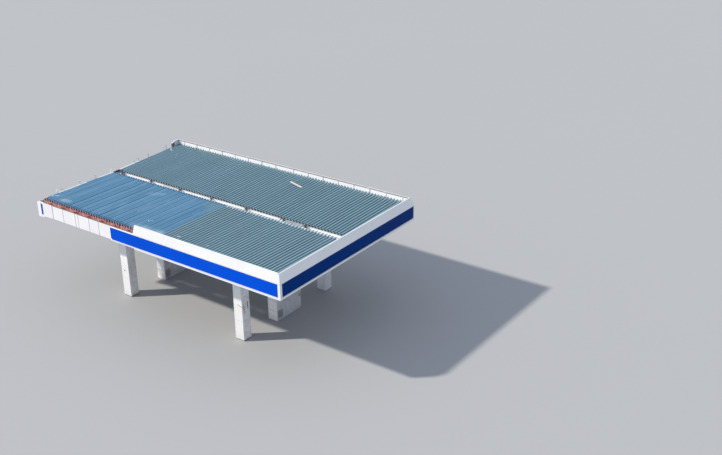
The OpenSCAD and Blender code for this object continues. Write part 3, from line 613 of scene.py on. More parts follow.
# ---- mesh code -----------------------------------------------------------------
class Shape:
    """Collects closed forms for one piece."""

    def __init__(self):
        self.v, self.f, self.mi = [], [], []

    def add(self, verts, faces, mat=0, m=None):
        off = len(self.v)
        self.v += [tuple(m @ Vector(p)) if m else tuple(p) for p in verts]
        self.f += [tuple(i + off for i in q) for q in faces]
        self.mi += [mat] * len(faces)

    def block(self, lo, hi, c=0.002, mat=0, m=None):
        """a bar or plate with all its edges broken"""
        lo, hi = [min(a, b) for a, b in zip(lo, hi)], [max(a, b) for a, b in zip(lo, hi)]
        c = min(c, 0.45 * min(b - a for a, b in zip(lo, hi)))
        ends, idx, vs, fs = (lo, hi), {}, [], []
        signs = [(i, j, k) for i in (0, 1) for j in (0, 1) for k in (0, 1)]
        for s in signs:
            for a in range(3):
                p = [ends[s[k]][k] + (0 if k == a else (c if s[k] == 0 else -c)) for k in range(3)]
                idx[(s, a)] = len(vs)
                vs.append(p)
        for a in range(3):
            u, w = [k for k in range(3) if k != a]
            for sa in (0, 1):
                q = []
                for su, sw in ((0, 0), (1, 0), (1, 1), (0, 1)):
                    s = [0, 0, 0]
                    s[a], s[u], s[w] = sa, su, sw
                    q.append(idx[(tuple(s), a)])
                fs.append(q)
            for su in (0, 1):
                for sw in (0, 1):
                    s0, s1 = [0, 0, 0], [0, 0, 0]
                    s0[u] = s1[u] = su
                    s0[w] = s1[w] = sw
                    s1[a] = 1
                    s0, s1 = tuple(s0), tuple(s1)
                    fs.append([idx[(s0, u)], idx[(s0, w)], idx[(s1, w)], idx[(s1, u)]])
        for s in signs:
            fs.append([idx[(s, 0)], idx[(s, 1)], idx[(s, 2)]])
        self.add(vs, fs, mat, m)

    def prism(self, outline, place, a, b, mat=0):
        """outline of (p, q) pairs swept from a to b; place(p, q, t) gives the point"""
        n = len(outline)
        vs = [place(p, q, a) for p, q in outline] + [place(p, q, b) for p, q in outline]
        fs = [tuple(range(n)), tuple(range(2 * n - 1, n - 1, -1))]
        fs += [(i, (i + 1) % n, n + (i + 1) % n, n + i) for i in range(n)]
        self.add(vs, fs, mat)

    def sweep(self, rings, mat=0, closed=False):
        """rings of points joined one to the next; the two ends are capped unless closed"""
        n, k = len(rings[0]), len(rings)
        vs = [p for r in rings for p in r]
        fs = []
        for j in range(k if closed else k - 1):
            a, b = j * n, ((j + 1) % k) * n
            fs += [(a + i, a + (i + 1) % n, b + (i + 1) % n, b + i) for i in range(n)]
        if not closed:
            fs += [tuple(range(n)), tuple(range(k * n - 1, (k - 1) * n - 1, -1))]
        self.add(vs, fs, mat)

    def tube(self, path, r, n=8, mat=0):
        path = [Vector(p) for p in path]
        rings = []
        for i, p in enumerate(path):
            t = (path[min(i + 1, len(path) - 1)] - path[max(i - 1, 0)]).normalized()
            a = t.cross(Vector((0, 0, 1)))
            a = (a if a.length > 0.05 else t.cross(Vector((0, 1, 0)))).normalized()
            b = t.cross(a)
            rings.append([p + (a * math.cos(q) + b * math.sin(q)) * r for q in (2 * math.pi * j / n for j in range(n))])
        self.sweep(rings, mat)

    def strap(self, path, side, width, thick, mat=0):
        """flat bar along a path; side is the direction of its width"""
        path, side = [Vector(p) for p in path], Vector(side).normalized()
        rings = []
        for i, p in enumerate(path):
            t = (path[min(i + 1, len(path) - 1)] - path[max(i - 1, 0)]).normalized()
            nrm = t.cross(side).normalized()
            e = width * 0.5 - thick * 0.4
            rings.append([p + side * (width * 0.5) + nrm * thick * 0.2, p + side * e + nrm * thick * 0.5,
                          p - side * e + nrm * thick * 0.5, p - side * (width * 0.5) + nrm * thick * 0.2,
                          p - side * (width * 0.5) - nrm * thick * 0.2, p - side * e - nrm * thick * 0.5,
                          p + side * e - nrm * thick * 0.5, p + side * (width * 0.5) - nrm * thick * 0.2])
        self.sweep(rings, mat)

    def _axes(self, n):
        n = Vector(n).normalized()
        a = n.cross(Vector((0, 0, 1)))
        a = (a if a.length > 0.1 else n.cross(Vector((1, 0, 0)))).normalized()
        return n, a, n.cross(a)

    def disc(self, p, n, r, h, k=10, mat=0, turn=0.0, top=0.85):
        """short round or many-sided stub with a broken top edge"""
        n, a, b = self._axes(n)
        p = Vector(p)
        rings = []
        for rr, hh in ((r, 0), (r, h * 0.7), (r * top, h)):
            rings.append([p + n * hh + (a * math.cos(q) + b * math.sin(q)) * rr
                          for q in (turn + 2 * math.pi * j / k for j in range(k))])
        self.sweep(rings, mat)

    def bolt(self, p, n, r=0.012, mat=0, washer=1, shank=0.0):
        n_ = Vector(n).normalized()
        p = Vector(p)
        if washer is not None:
            self.disc(p, n_, r * 1.75, r * 0.3, 12, washer)
            p = p + n_ * r * 0.3
        self.disc(p, n_, r, r * 1.1, 6, mat, rnd.uniform(0, 1))
        if shank:
            self.disc(p + n_ * r * 1.1, n_, r * 0.55, shank, 8, mat)

    def rivet(self, p, n, r=0.006, mat=0):
        n_, a, b = self._axes(n)
        p = Vector(p)
        rings = [[p + n_ * (r * hh) + (a * math.cos(q) + b * math.sin(q)) * r * rr for q in (2 * math.pi * j / 8 for j in range(8))]
                 for rr, hh in ((1.0, 0.0), (0.95, 0.22), (0.6, 0.5), (0.15, 0.6))]
        self.sweep(rings, mat)

    def make(self, name, mats, smooth=False):
        me = bpy.data.meshes.new(name)
        me.from_pydata(self.v, [], self.f)
        for m in mats:
            me.materials.append(m)
        me.polygons.foreach_set("material_index", self.mi)
        bm = bmesh.new()
        bm.from_mesh(me)
        bmesh.ops.recalc_face_normals(bm, faces=bm.faces)
        bm.to_mesh(me)
        bm.free()
        me.polygons.foreach_set("use_smooth", [smooth] * len(me.polygons))
        o = bpy.data.objects.new(name, me)
        scene.collection.objects.link(o)
        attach(o, "root")
        return o


# ---- roof: closures, screws, laps, film ------------------------------------------
def rib_closures(name, h, y_end, inward, mat=m_foam):
    """foam blocks in the open rib ends of one roof edge, near black as painted shade of the openings; inward is +1 or
    -1 along y
    """
    s = Shape()
    for i in range(N_RIBS):
        x = DECK_X0 + PITCH * i + (0.001 if h < 0 and i >= N_FILM else 0.0)
        set_in = rnd.uniform(0.045, 0.055)
        y0, y1 = y_end + inward * set_in, y_end + inward * 0.10
        out = [(0.0055, -0.0025), (0.0302, RIB_H - 0.0045), (0.1298, RIB_H - 0.0045), (0.1545, -0.0025)]
        zb = deck((y0 + y1) / 2)
        front = [(x + p, y0, zb + q) for p, q in out]
        ring2 = [(x + 0.08 + (p - 0.08) * 0.72, y0 - inward * 0.0035, zb + 0.035 + (q - 0.035) * 0.66) for p, q in out]
        rear = [(x + p, y1, zb + q) for p, q in out]
        s.sweep([ring2, front, rear])
    return s.make(name, [mat])


rib_closures("rib_closures_front", -1, -DECK_Y, 1)
rib_closures("rib_closures_gutter_front", -1, -0.06, -1)
rib_closures("rib_closures_gutter_back", 1, 0.37, 1, m_foam_grey)
rib_closures("rib_closures_back", 1, DECK_Y, -1)

def comb(name, h, y_end, out_dir, mat, foot=0.012, tall=0.060):
    """closure strip whose teeth stand in the valleys at the ends of the sheets"""
    s = Shape()
    ya, yb = y_end + out_dir * 0.0004, y_end + out_dir * 0.0044
    zb = deck(y_end)
    for i in range(-1, N_RIBS):
        x = DECK_X0 + PITCH * i + (0.001 if h < 0 and i >= N_FILM else 0.0)
        lo, hi = 0.1615, PITCH - 0.0015
        if i < 0:
            lo = PITCH - 0.040
        k = 0.025 / RIB_H * tall
        j = rnd.uniform(-0.003, 0.003)
        o = [(lo, -foot), (hi, -foot), (hi, 0.001), (hi + k - 0.003, tall - 0.003 + j), (hi + k - 0.006, tall + j),
             (lo - (k if i >= 0 else 0) + 0.006, tall + j), (lo - (k if i >= 0 else 0) + 0.003, tall - 0.003 + j), (lo, 0.001)]
        s.prism(o, lambda p, q, t: (x + p, t, zb + q), ya, yb, 0)
        s.rivet((x + (lo + hi) / 2, yb, zb + 0.022), (0, out_dir, 0), 0.0045, 1)
    return s.make(name, [mat, m_galv])


comb("comb_front", -1, -DECK_Y, -1, m_comb_pink, 0.012, 0.058)
comb("comb_gutter_back", 1, 0.37, -1, m_dull_cover, 0.010, 0.058)
comb("comb_back", 1, DECK_Y, 1, m_white_strip)

# white filler blocks in the mouths of the valleys along the gutter
s = Shape()
for i in range(N_RIBS):
    x = DECK_X0 + PITCH * i + (0.001 if i >= N_FILM else 0.0)
    j, d = rnd.uniform(-0.006, 0.006), rnd.uniform(-0.02, 0.02)
    tall = 0.060 + j
    k = 0.025 / RIB_H * tall
    y0, y1 = (-0.205 + d, -0.063) if i >= N_FILM else (-0.082, -0.063)
    lo, hi = 0.1622, PITCH - 0.0022
    rings = []
    for y, t in ((y0 - 0.012, 0.55), (y0, 1.0), (y1 + 0.004, 1.0)):
        zb, kk, tt = deck(y) + 0.0006, k * t, tall * t
        rings.append([(x + lo, y, zb), (x + hi, y, zb), (x + hi + kk, y, zb + tt - 0.002), (x + hi + kk - 0.005, y, zb + tt),
                      (x + lo - kk + 0.005, y, zb + tt), (x + lo - kk, y, zb + tt - 0.002)])
    s.sweep(rings)
s.make("valley_fillers", [m_white_strip])

# short profiled end pieces that close the roof against the back lining
s = Shape()
xs = [DECK_X0 - 0.028]
hs = [0.0]
for i in range(N_RIBS):
    x = DECK_X0 + PITCH * i
    xs += [x - 0.0006, x + 0.0244, x + 0.1356, x + 0.1606]
    hs += [0.0, RIB_H, RIB_H, 0.0]
xs.append(9.09)
hs.append(0.0)
v, f, n = [], [], len(xs)
for y in (5.545, 5.744):
    for t in (0.0026, 0.0010):
        v += [(x, y, deck(y) + h + t) for x, h in zip(xs, hs)]
for i in range(n - 1):
    f += [(i, i + 1, 2 * n + i + 1, 2 * n + i), (n + i, 3 * n + i, 3 * n + i + 1, n + i + 1),
          (i, n + i, n + i + 1, i + 1), (2 * n + i, 2 * n + i + 1, 3 * n + i + 1, 3 * n + i)]
f += [(0, 2 * n, 3 * n, n), (n - 1, 2 * n - 1, 4 * n - 1, 3 * n - 1)]
s.add(v, f)
for i in range(N_RIBS):
    s.disc((DECK_X0 + PITCH * i + 0.080, 5.585, deck(5.585) + RIB_H + 0.0024), (0, 0, 1), 0.006, 0.005, 6, 1, rnd.uniform(0, 1))
for i in range(N_RIBS):
    x = DECK_X0 + PITCH * i
    up, lean = 0.054 + rnd.uniform(-0.020, 0.020), rnd.uniform(-0.012, 0.012)
    zc = deck(5.744) + RIB_H + 0.0032
    s.sweep([[(x + 0.030 + lean * t + w, y, zc + up * t), (x + 0.130 + lean * t - w, y, zc + up * t), (x + 0.130 + lean * t - w, y + 0.0012, zc + up * t),
              (x + 0.030 + lean * t + w, y + 0.0012, zc + up * t)] for y, t, w in ((5.690, 0.0, 0.0), (5.742, 0.02, 0.0), (5.7465, 0.5, 0.012), (5.7485, 1.0, 0.030))], 0)
s.make("back_end_pieces", [m_roof, m_bolt])

for half, sg in (("front", -1), ("back", 1)):
    s = Shape()
    for i in range(N_RIBS):
        if sg < 0 and i < N_FILM and i % 4 == 1:
            continue
        x = DECK_X0 + PITCH * i + 0.189
        for y in PURLIN_Y + [5.55]:
            xx, yy = x + rnd.uniform(-0.004, 0.004), sg * (y + rnd.uniform(-0.006, 0.006))
            if half == "front" and i < N_FILM:
                s.disc((xx, yy, deck(yy) - 0.0005), (0, 0, 1), 0.009, 0.003, 8, 1)
                s.disc((xx, yy, deck(yy) + 0.0025), (0, 0, 1), 0.0055, 0.005, 6, 0)
            else:
                s.disc((xx, yy, deck(yy) - 0.0005), (0, 0, 1), 0.011, 0.0035, 8, 1)
                s.disc((xx, yy, deck(yy) + 0.003), (0, 0, 1), 0.0065, 0.006, 6, 0, rnd.uniform(0, 1))
    s.make("roof_screws_" + half, [m_bolt, m_rubber])

s = Shape()
for sg, y0, y1 in ((-1, 0.066, DECK_Y - 0.004), (1, 0.374, DECK_Y - 0.004)):
    for i in range(N_RIBS):
        if i % 4 != 1 or (sg < 0 and i < N_FILM):
            continue
        x = DECK_X0 + PITCH * i + 0.172
        ya, yb = sg * y0, sg * y1
        ang = math.atan(FALL)
        ring = []
        for y in (ya, yb):
            z = deck(y)
            ring.append([(x, y, z - 0.0004), (x, y, z + 0.0016), (x + 0.026, y, z + 0.0016), (x + 0.030, y, z + 0.0034),
                         (x + 0.032, y, z + 0.0030), (x + 0.029, y, z - 0.0004)])
        s.sweep(ring, 0)
        n = int((y1 - y0) / 0.5)
        for k in range(n):
            y = sg * (y0 + 0.25 + 0.5 * k)
            s.rivet((x + 0.012, y, deck(y) + 0.0015), (0, 0, 1), 0.005, 1)
s.make("side_laps", [m_roof, m_bolt])


# how deep the film sags along each lap of the sheets, from the left
GROOVE = (0.5, 0.06, 1.0, 0.85, 0.85, 1.0, 0.55, 0.7, 0.5, 0.7, 0.35)


def roof_film():
    offs = [0.0, 0.012, 0.025, 0.045, 0.080, 0.115, 0.135, 0.148, 0.160, 0.176, 0.189, 0.204]
    r = random.Random(7)
    y_pts = [-5.612, -5.60, -5.575, -5.53, -5.46, -5.36] + [-5.36 + (5.36 - 0.16) * i / 44 for i in range(1, 45)] + [-0.12, -0.085]
    tilt = [r.uniform(-0.0015, 0.0015) for _ in range(N_FILM + 1)]
    waves = [(r.uniform(0.5, 1.4), r.uniform(0, 6.28), r.uniform(0, 6.28)) for _ in range(N_FILM + 1)]

    def prof(o):
        if o < 0.025:
            return RIB_H * o / 0.025
        if o < 0.135:
            return RIB_H
        if o < 0.160:
            return RIB_H * (0.160 - o) / 0.025
        return 0.0

    xs, info = [], []
    for i in range(N_FILM):
        for o in offs:
            xs.append(DECK_X0 + PITCH * i + o)
            info.append((i, o))
    xs.append(DECK_X0 + PITCH * N_FILM)
    info.append((N_FILM - 1, PITCH))
    xs.insert(0, DECK_X0 - 0.030)
    info.insert(0, (0, -0.030))

    def height(i, o, y):
        real = max(0.0, prof(o if 0 <= o <= PITCH else 0.0))
        w, p1, p2 = waves[i]
        wob = 0.5 + 0.5 * math.sin(w * y + p1)
        lap = i % 4 == 1
        d_lap = None
        if lap and o > 0.135:
            d_lap = o - 0.189
        elif i % 4 == 2 and o < 0.025:
            d_lap = o + PITCH - 0.189
        if d_lap is not None:
            k = 0.054 if d_lap < 0 else 0.054
            f = min(1.0, abs(d_lap) / k)
            f = f * f * (3 - 2 * f)
            deep = RIB_H - 0.036 * GROOVE[min(len(GROOVE) - 1, (i if d_lap < 0 or o > 0.135 else i - 1) // 4)] + 0.006 * wob
            h = deep + (RIB_H + 0.0025 - deep) * f
        elif 0.025 <= o <= 0.135:
            h = RIB_H + 0.0025 + 0.0015 * math.sin(w * 2.1 * y + p2)
            if i % 4 == 2:
                # the free edge of the next sheet's film rides up beside the groove
                h += 0.012 * max(0.0, 1 - (o - 0.025) / 0.105) * (0.45 + 0.55 * wob)
        else:
            u = ((o - 0.135) if o > 0.08 else (o + PITCH - 0.135)) / (PITCH - 0.110)
            sag = (0.013 if i % 4 == 3 else 0.004) + 0.003 * wob
            h = RIB_H + 0.0025 - sag * 4 * u * (1 - u)
            h += tilt[i]* 4 * u * (1 - u)
        stick = max(0.0, min(1.0, (y + 5.53) / 0.16))           # bonded along the front end
        stick = stick * stick * (3 - 2 * stick)
        fade = max(0.0, min(1.0, (-0.11 - y) / 0.14))            # and along the gutter end
        stick *= fade
        if i >= N_FILM - 5:                                      # and towards its right edge
            stick *= max(0.90, (N_FILM - i) / 6)
        return (real + 0.0022) * (1 - stick) + max(h, real + 0.0022) * stick

    top, bot = [], []
    for y in y_pts:
        top.append([])
        bot.append([])
        for x, (i, o) in zip(xs, info):
            hh = height(i, o, y)
            yy = y
            top[-1].append((x, yy, deck(yy) + hh))
            bot[-1].append((x, yy, deck(yy) + hh - 0.0011))
    nx, ny = len(xs), len(y_pts)
    v = [p for row in top for p in row] + [p for row in bot for p in row]
    off = nx * ny
    f = []
    for j in range(ny - 1):
        for i in range(nx - 1):
            a = j * nx + i
            f.append((a, a + 1, a + nx + 1, a + nx))
            f.append((off + a, off + a + nx, off + a + nx + 1, off + a + 1))
    for i in range(nx - 1):
        f.append((i, off + i, off + i + 1, i + 1))
        a = (ny - 1) * nx + i
        f.append((a, a + 1, off + a + 1, off + a))
    for j in range(ny - 1):
        a = j * nx
        f.append((a, a + nx, off + a + nx, off + a))
        a = j * nx + nx - 1
        f.append((a, off + a, off + a + nx, a + nx))
    s = Shape()
    s.add(v, f)
    return s.make("roof_film", [m_film], smooth=True)


roof_film()

# ---- steel: bolts, plates, splices ------------------------------------------------
seat = lambda y: 5.7096 + abs(y) * FALL
s = Shape()
for cx in ROWS:
    for y in PURLIN_Y:
        zb = seat(y - 0.055) - 0.2
        for sg in (-1, 1):
            for dx in (-0.045, 0.045):
                for dy in (-0.034, 0.034):
                    s.bolt((cx + dx, sg * y + dy, zb + 0.0118), (0, 0, 1), 0.010, 0, 1, 0.010)
s.make("purlin_bolts", [m_bolt, m_galv])

s = Shape()
for cx in ROWS:
    for y in (-BAY_Y, 0, BAY_Y):
        for dx in (-0.07, 0.07):
            for dy in (-0.165, 0.165):
                s.bolt((cx + dx, y + dy, 5.13), (0, 0, -1), 0.012, 0, 1)
                s.bolt((cx + dx, y + dy, 5.168), (0, 0, 1), 0.012, 0, 1, 0.014)
    for sg in (-1, 1):
        for dx in (-0.065, 0.065):
            for z in (5.21, 5.325, 5.44):
                s.bolt((cx + dx, sg * 5.575, z), (0, -sg, 0), 0.011, 0, 1, 0.010)
s.make("girder_bolts", [m_bolt, m_galv])

s = Shape()
for cx in ROWS:
    for cy in (-BAY_Y, 0, BAY_Y):
        for i in (-0.2, 0.2):
            for j in (-0.2, 0.2):
                s.disc((cx + i, cy + j, 0.0248), (0, 0, 1), 0.026, 0.005, 14, 1)
                s.bolt((cx + i, cy + j, 0.0296), (0, 0, 1), 0.021, 0, None, 0.05)
s.make("anchor_nuts", [m_bolt, m_galv])

# web splices and cleats on the edge beams; the front ones stand in the open and take the primer with painted sunlight
edge_bot = seat(5.59 - 0.075) - 0.3
for side, sg, mats in (("front", -1, [m_primer_front_painted_sunlit, m_bolt]), ("back", 1, [m_primer, m_bolt])):
    s = Shape()
    yf = sg * 5.59
    for x in (-6.62, -0.60, 2.55, 6.55):
        s.block((x - 0.11, yf, edge_bot + 0.05), (x + 0.11, yf + sg * 0.008, edge_bot + 0.25), 0.002, 0)
        for dx in (-0.07, 0.07):
            for dz in (0.09, 0.15, 0.21):
                s.bolt((x + dx, yf + sg * 0.008, edge_bot + dz), (0, sg, 0), 0.009, 1, None)
    for x in (STUD_X if sg > 0 else [v for v in STUD_X if v < UPPER_X0] + [UPPER_X0 - 0.026] + [v for v in STUD_X if v > UPPER_X0]):
        for dx in (-0.055, 0.029):
            s.block((x + dx, yf, 5.545), (x + dx + 0.026, yf + sg * 0.006, 5.715), 0.0015, 0)
        for z in (5.585, 5.675):
            s.bolt((x - 0.042, yf + sg * 0.006, z), (0, sg, 0), 0.006, 1, None)
            s.bolt((x + 0.042, yf + sg * 0.006, z), (0, sg, 0), 0.006, 1, None)
    s.make("edge_beam_plates_" + side, mats)

# bare front edge: dark end caps hang over the rib ends as painted shadow of the openings, and primed laths stand
# between them, their pale and dark tones painted light and painted shadow
s = Shape()
for i in range(N_RIBS):
    x = DECK_X0 + PITCH * i
    if x > -1.35:
        break
    j, d = rnd.uniform(-0.006, 0.006), rnd.uniform(-0.012, 0.016)
    xa, xb = x + 0.023 + j, x + 0.133 + j
    o = [(xa, 5.776 + d), (xb, 5.776 + d + rnd.uniform(-0.006, 0.006)), (xb, deck(5.62) + RIB_H - 0.002), (xa, deck(5.62) + RIB_H - 0.002)]
    s.prism(o, lambda p, q, t: (p, t, q), -5.6252, -5.6208)
    s.prism([(xa, deck(5.62) + RIB_H - 0.002), (xb, deck(5.62) + RIB_H - 0.002), (xb, deck(5.62) + RIB_H + 0.0012), (xa, deck(5.62) + RIB_H + 0.0012)],
            lambda p, q, t: (p, t, q), -5.6252, -5.600)
    s.rivet(((xa + xb) / 2, -5.6252, 5.845), (0, -1, 0), 0.006, 1)
s.make("rib_end_caps_front", [m_end_cap_painted_shadow, m_galv])
s = Shape()
for i in range(-1, N_RIBS):
    x = DECK_X0 + PITCH * i
    if x > -1.40:
        break
    tone = rnd.choice((0, 0, 3, 1, 1, 0, 3, 2)) if i >= 0 else 1
    w = rnd.uniform(0.040, 0.075)
    xc = x + 0.189 + rnd.uniform(-0.010, 0.010)
    if xc - w / 2 < -9.15:
        xc = -9.15 + w / 2
    zt = 5.808 + rnd.uniform(-0.012, 0.0)
    s.block((xc - w / 2, -5.6065, edge_bot + 0.006 + rnd.uniform(0, 0.02)), (xc + w / 2, -5.5895, zt), 0.003, tone)
    if rnd.random() < 0.45:                      # a narrow one between
        xm = x + 0.079 + rnd.uniform(-0.02, 0.02)
        s.block((xm - 0.014, -5.602, edge_bot + 0.01), (xm + 0.014, -5.5895, 5.775), 0.003, rnd.choice((0, 0, 2, 3)))
s.make("front_beam_uprights", [m_upright, m_upright_mid, m_upright_painted_shadow, m_comb_pink])
# beige cover on the open end of the front beam
s = Shape()
s.block((-9.176, -5.618, 5.585), (-9.060, -5.590, 5.872), 0.003, 0)
s.block((-9.176, -5.600, 5.585), (-9.1715, -5.470, 5.872), 0.002, 0)
for z in (5.62, 5.73, 5.84):
    s.bolt((-9.118, -5.618, z), (0, -1, 0), 0.006, 1, None)
s.make("front_beam_end_cover", [m_beige_plate, m_bolt])

# ---- front panels that stand bare --------------------------------------------------
s = Shape()
for x, w in ((-8.10, 0.040), (-7.15, 0.046), (-6.07, 0.056), (-5.81, 0.044), (-4.86, 0.046), (-4.03, 0.046)):
    s.block((x - w / 2, -W + BACK_U - 0.003, 4.907), (x + w / 2, -W + BACK_U + 0.001, 5.771), 0.001, 0)
s.make("panel_joints_front", [m_grey_joint])
# the first bay is a deeper tray that runs out towards its right end
s = Shape()
ring = []
for k in range(7):
    x = -8.888 + (8.888 - 8.122) * k / 6
    yf = -5.986 + 0.050 * k / 6
    ring.append([(x, -5.9195, 4.910), (x, yf + 0.002, 4.910), (x, yf, 4.912), (x, yf, 5.764), (x, yf + 0.002, 5.766), (x, -5.9195, 5.766)])
s.sweep(ring)
for k in range(4):
    x = -8.80 + 0.205 * k
    for z in (4.95, 5.73):
        s.rivet((x, -5.986 + 0.050 * (x + 8.888) / 0.766, z), (0, -1, 0), 0.006, 1)
s.make("panel_first_bay", [m_panel, m_galv])
s = Shape()
x = -9.2
while x < -3.05:
    for z in (4.93, 5.35, 5.745):
        s.rivet((x, -W + BACK_U, z), (0, -1, 0), 0.006, 0)
    x += 0.233
s.make("panel_rivets_front", [m_galv])
# trim on top of the bare panels, brown as painted shade of their top edge
s = Shape()
s.sweep([[(x, -5.926, 5.742), (x, -5.926, 5.7765), (x, -5.889, 5.7765), (x, -5.885, 5.766), (x, -5.888, 5.766),
          (x, -5.890, 5.7738), (x, -5.9225, 5.7738), (x, -5.9225, 5.742)] for x in (-8.885, -1.130)])
s.make("panel_top_trim", [m_trim_painted_shade])

# blue slip and edge folds of the first unit
s = Shape()
s.block((-9.079, -5.9935, 5.015), (-8.922, -5.969, 5.705), 0.0015, 0)
s.block((-9.079, -5.990, 5.708), (-8.951, -5.969, 5.752), 0.0015, 1)
s.block((-9.079, -5.990, 4.842), (-8.951, -5.969, 5.012), 0.0015, 1)
for z in (5.05, 5.36, 5.67):
    s.rivet((-9.00, -5.9935, z), (0, -1, 0), 0.006, 2)
s.make("corner_unit_slip", [m_blue_slip, m_white, m_galv])
s = Shape()
for z in (4.90, 5.2, 5.5, 5.72):
    for x in (-9.35, -9.11, -8.925):
        s.rivet((x, -6.0 if x < -9 else -5.99, z), (0, -1, 0), 0.006, 1)
s.block((-9.3805, -6.0005, 5.7595), (-9.079, -5.921, 5.7625), 0.001, 0)
s.block((-8.951, -5.9905, 5.7595), (-8.889, -5.921, 5.7625), 0.001, 0)
s.make("corner_unit_folds", [m_white, m_galv])

# ---- blue band: seams, end trim, top trim --------------------------------------------
arc = [(math.sin(a) , math.cos(a)) for a in (math.radians(9 * i) for i in range(11))]


def blue_ring(t):
    """outer outline of the blue band at distance t outside it, from its top to its lower inner edge, as (u, z)"""
    pts = [(BLUE_SET - t, Z_MID - 0.004), (BLUE_SET - t, Z_BLUE + 0.05)]
    for sa, ca in arc[1:]:
        pts.append((BLUE_SET + 0.05 - (0.05 + t) * ca, Z_BLUE + 0.05 - (0.05 + t) * sa))
    return pts


def band_seam(s, place, c, width, mat, ring=blue_ring, t=0.0014):
    o, i = ring(t), ring(-0.0006)
    out = o + i[::-1]
    s.sweep([[place(u, z, c + d) for u, z in out] for d in (-width / 2, width / 2)], mat)


front_at = lambda u, z, t: (t, -W + u, z)
back_at = lambda u, z, t: (t, W - u, z)
right_at = lambda u, z, t: (L - u, t, z)
left_at = lambda u, z, t: (-L + u, t, z)
s = Shape()
for x in (-0.75, 1.5, 3.75, 6.0, 8.0):
    band_seam(s, front_at, x, 0.006, 0)
for x in (-7.0, -4.5, -2.0, 0.5, 3.0, 5.5, 8.0):
    band_seam(s, back_at, x, 0.006, 0)
s.make("blue_seams", [m_blue_seam])
s = Shape()
for y in (-3.5, -1.2, 1.1, 3.4):
    band_seam(s, right_at, y, 0.006, 0)
s.make("blue_seams_right", [m_blue_side_painted_shade])

s = Shape()
pts = [(BLUE_X0 - 0.002, Z_MID - 0.002), (BLUE_X0 - 0.002, Z_BLUE + END_R)]
pts += [(BLUE_X0 + END_R - (END_R + 0.002) * math.cos(a), Z_BLUE + END_R - (END_R + 0.002) * math.sin(a)) for a in
        (math.radians(10 * i) for i in range(1, 9))]
s.sweep([[(x, -W + BLUE_SET - 0.006, z), (x + 0.014 * nx, -W + BLUE_SET - 0.006, z + 0.014 * nz),
          (x + 0.014 * nx, -W + BLUE_SET - 0.0005, z + 0.014 * nz), (x + 0.003 * nx, -W + BLUE_SET - 0.0005, z + 0.003 * nz),
          (x - 0.002 * nx, -W + BLUE_SET + 0.049, z - 0.002 * nz), (x - 0.005 * nx, -W + BLUE_SET + 0.049, z - 0.005 * nz)]
         for (x, z), (nx, nz) in zip(pts, [(1, 0), (1, 0)] + [(math.cos(math.radians(10 * i)), math.sin(math.radians(10 * i))) for i in range(1, 9)])])
s.block((BLUE_X0 - 0.006, -W + BLUE_SET - 0.005, Z_MID - 0.014), (UPPER_X0 - 0.002, -W + BLUE_SET + 0.052, Z_MID + 0.004), 0.0015)
x = BLUE_X0 + 0.15
while x < UPPER_X0 - 0.1:
    s.rivet((x, -W + BLUE_SET + 0.025, Z_MID + 0.004), (0, 0, 1), 0.005, 1)
    x += 0.31
s.make("blue_band_trims", [m_white_strip, m_galv])

# ---- upper bands: joint covers, rivets, hem lines --------------------------------------


def upper_ring(t):
    k = LEAN / (Z_TOP - 0.022 - Z_MID - 0.06)
    return [(0 - t, Z_MID + 0.001), (0 - t, Z_MID + 0.06), (LEAN - t, Z_TOP - 0.024)]


def lip_ring(t):
    return [(0 - t, Z_BLUE - 0.002), (0 - t, Z_LIP - t), (BACK_U - 0.002, Z_LIP - t)]


s = Shape()
JF = (1.4, 3.9, 6.4, 8.75)
JR = (-3.6, -1.2, 1.2, 3.6)
JB = (-8.1, -5.6, -3.1, -0.6, 1.9, 4.4, 6.9)
for x in JF:
    band_seam(s, front_at, x, 0.030, 0, upper_ring, 0.0016)
for x in JB:
    band_seam(s, back_at, x, 0.030, 0, upper_ring, 0.0016)
for y in JR:
    band_seam(s, right_at, y, 0.030, 0, upper_ring, 0.0016)
for x in JF[:3]:
    band_seam(s, front_at, x + 0.7, 0.020, 0, lip_ring, 0.0014)
for x in JB:
    band_seam(s, back_at, x + 0.7, 0.020, 0, lip_ring, 0.0014)
for y in JR:
    band_seam(s, right_at, y + 0.7, 0.020, 0, lip_ring, 0.0014)
s.make("band_joint_covers", [m_white])

s = Shape()
x = UPPER_X0 + 0.08
while x < L - 0.06:
    s.rivet((x, -W, Z_MID + 0.03), (0, -1, 0), 0.006)
    x += 0.305
x = -L + 0.1
while x < L - 0.06:
    s.rivet((x, W, Z_MID + 0.03), (0, 1, 0), 0.006)
    x += 0.305
y = -W + 0.1
while y < W - 0.06:
    s.rivet((L, y, Z_MID + 0.03), (1, 0, 0), 0.006)
    s.rivet((L, y + 0.15, Z_BLUE - 0.05), (1, 0, 0), 0.005) if y + 0.15 < W - 0.05 else None
    y += 0.305
for a in (-L + 0.2 + 0.61 * i for i in range(30)):
    s.rivet((a, W, Z_BLUE - 0.05), (0, 1, 0), 0.005)
    if a > UPPER_X0:
        s.rivet((a, -W, Z_BLUE - 0.05), (0, -1, 0), 0.005)
s.make("band_rivets", [m_galv])

# folded end of the upper band where it is cut off, seen as a thin pale line
s = Shape()
out = [(0.001, Z_MID + 0.002), (0.001, Z_MID + 0.059), (LEAN, Z_TOP - 0.024), (LEAN + 0.022, Z_TOP - 0.024), (0.023, Z_MID + 0.062), (0.023, Z_MID + 0.002)]
s.sweep([[front_at(u, z, UPPER_X0 + d) for u, z in out] for d in (-0.0035, -0.0005)])
s.block((UPPER_X0 - 0.052, -W + LIN - 0.052, 5.20), (UPPER_X0 - 0.0495, -W + LIN + 0.002, Z_TOP - 0.03), 0.001, 1)
s.make("upper_band_end", [m_white, m_beige_plate])
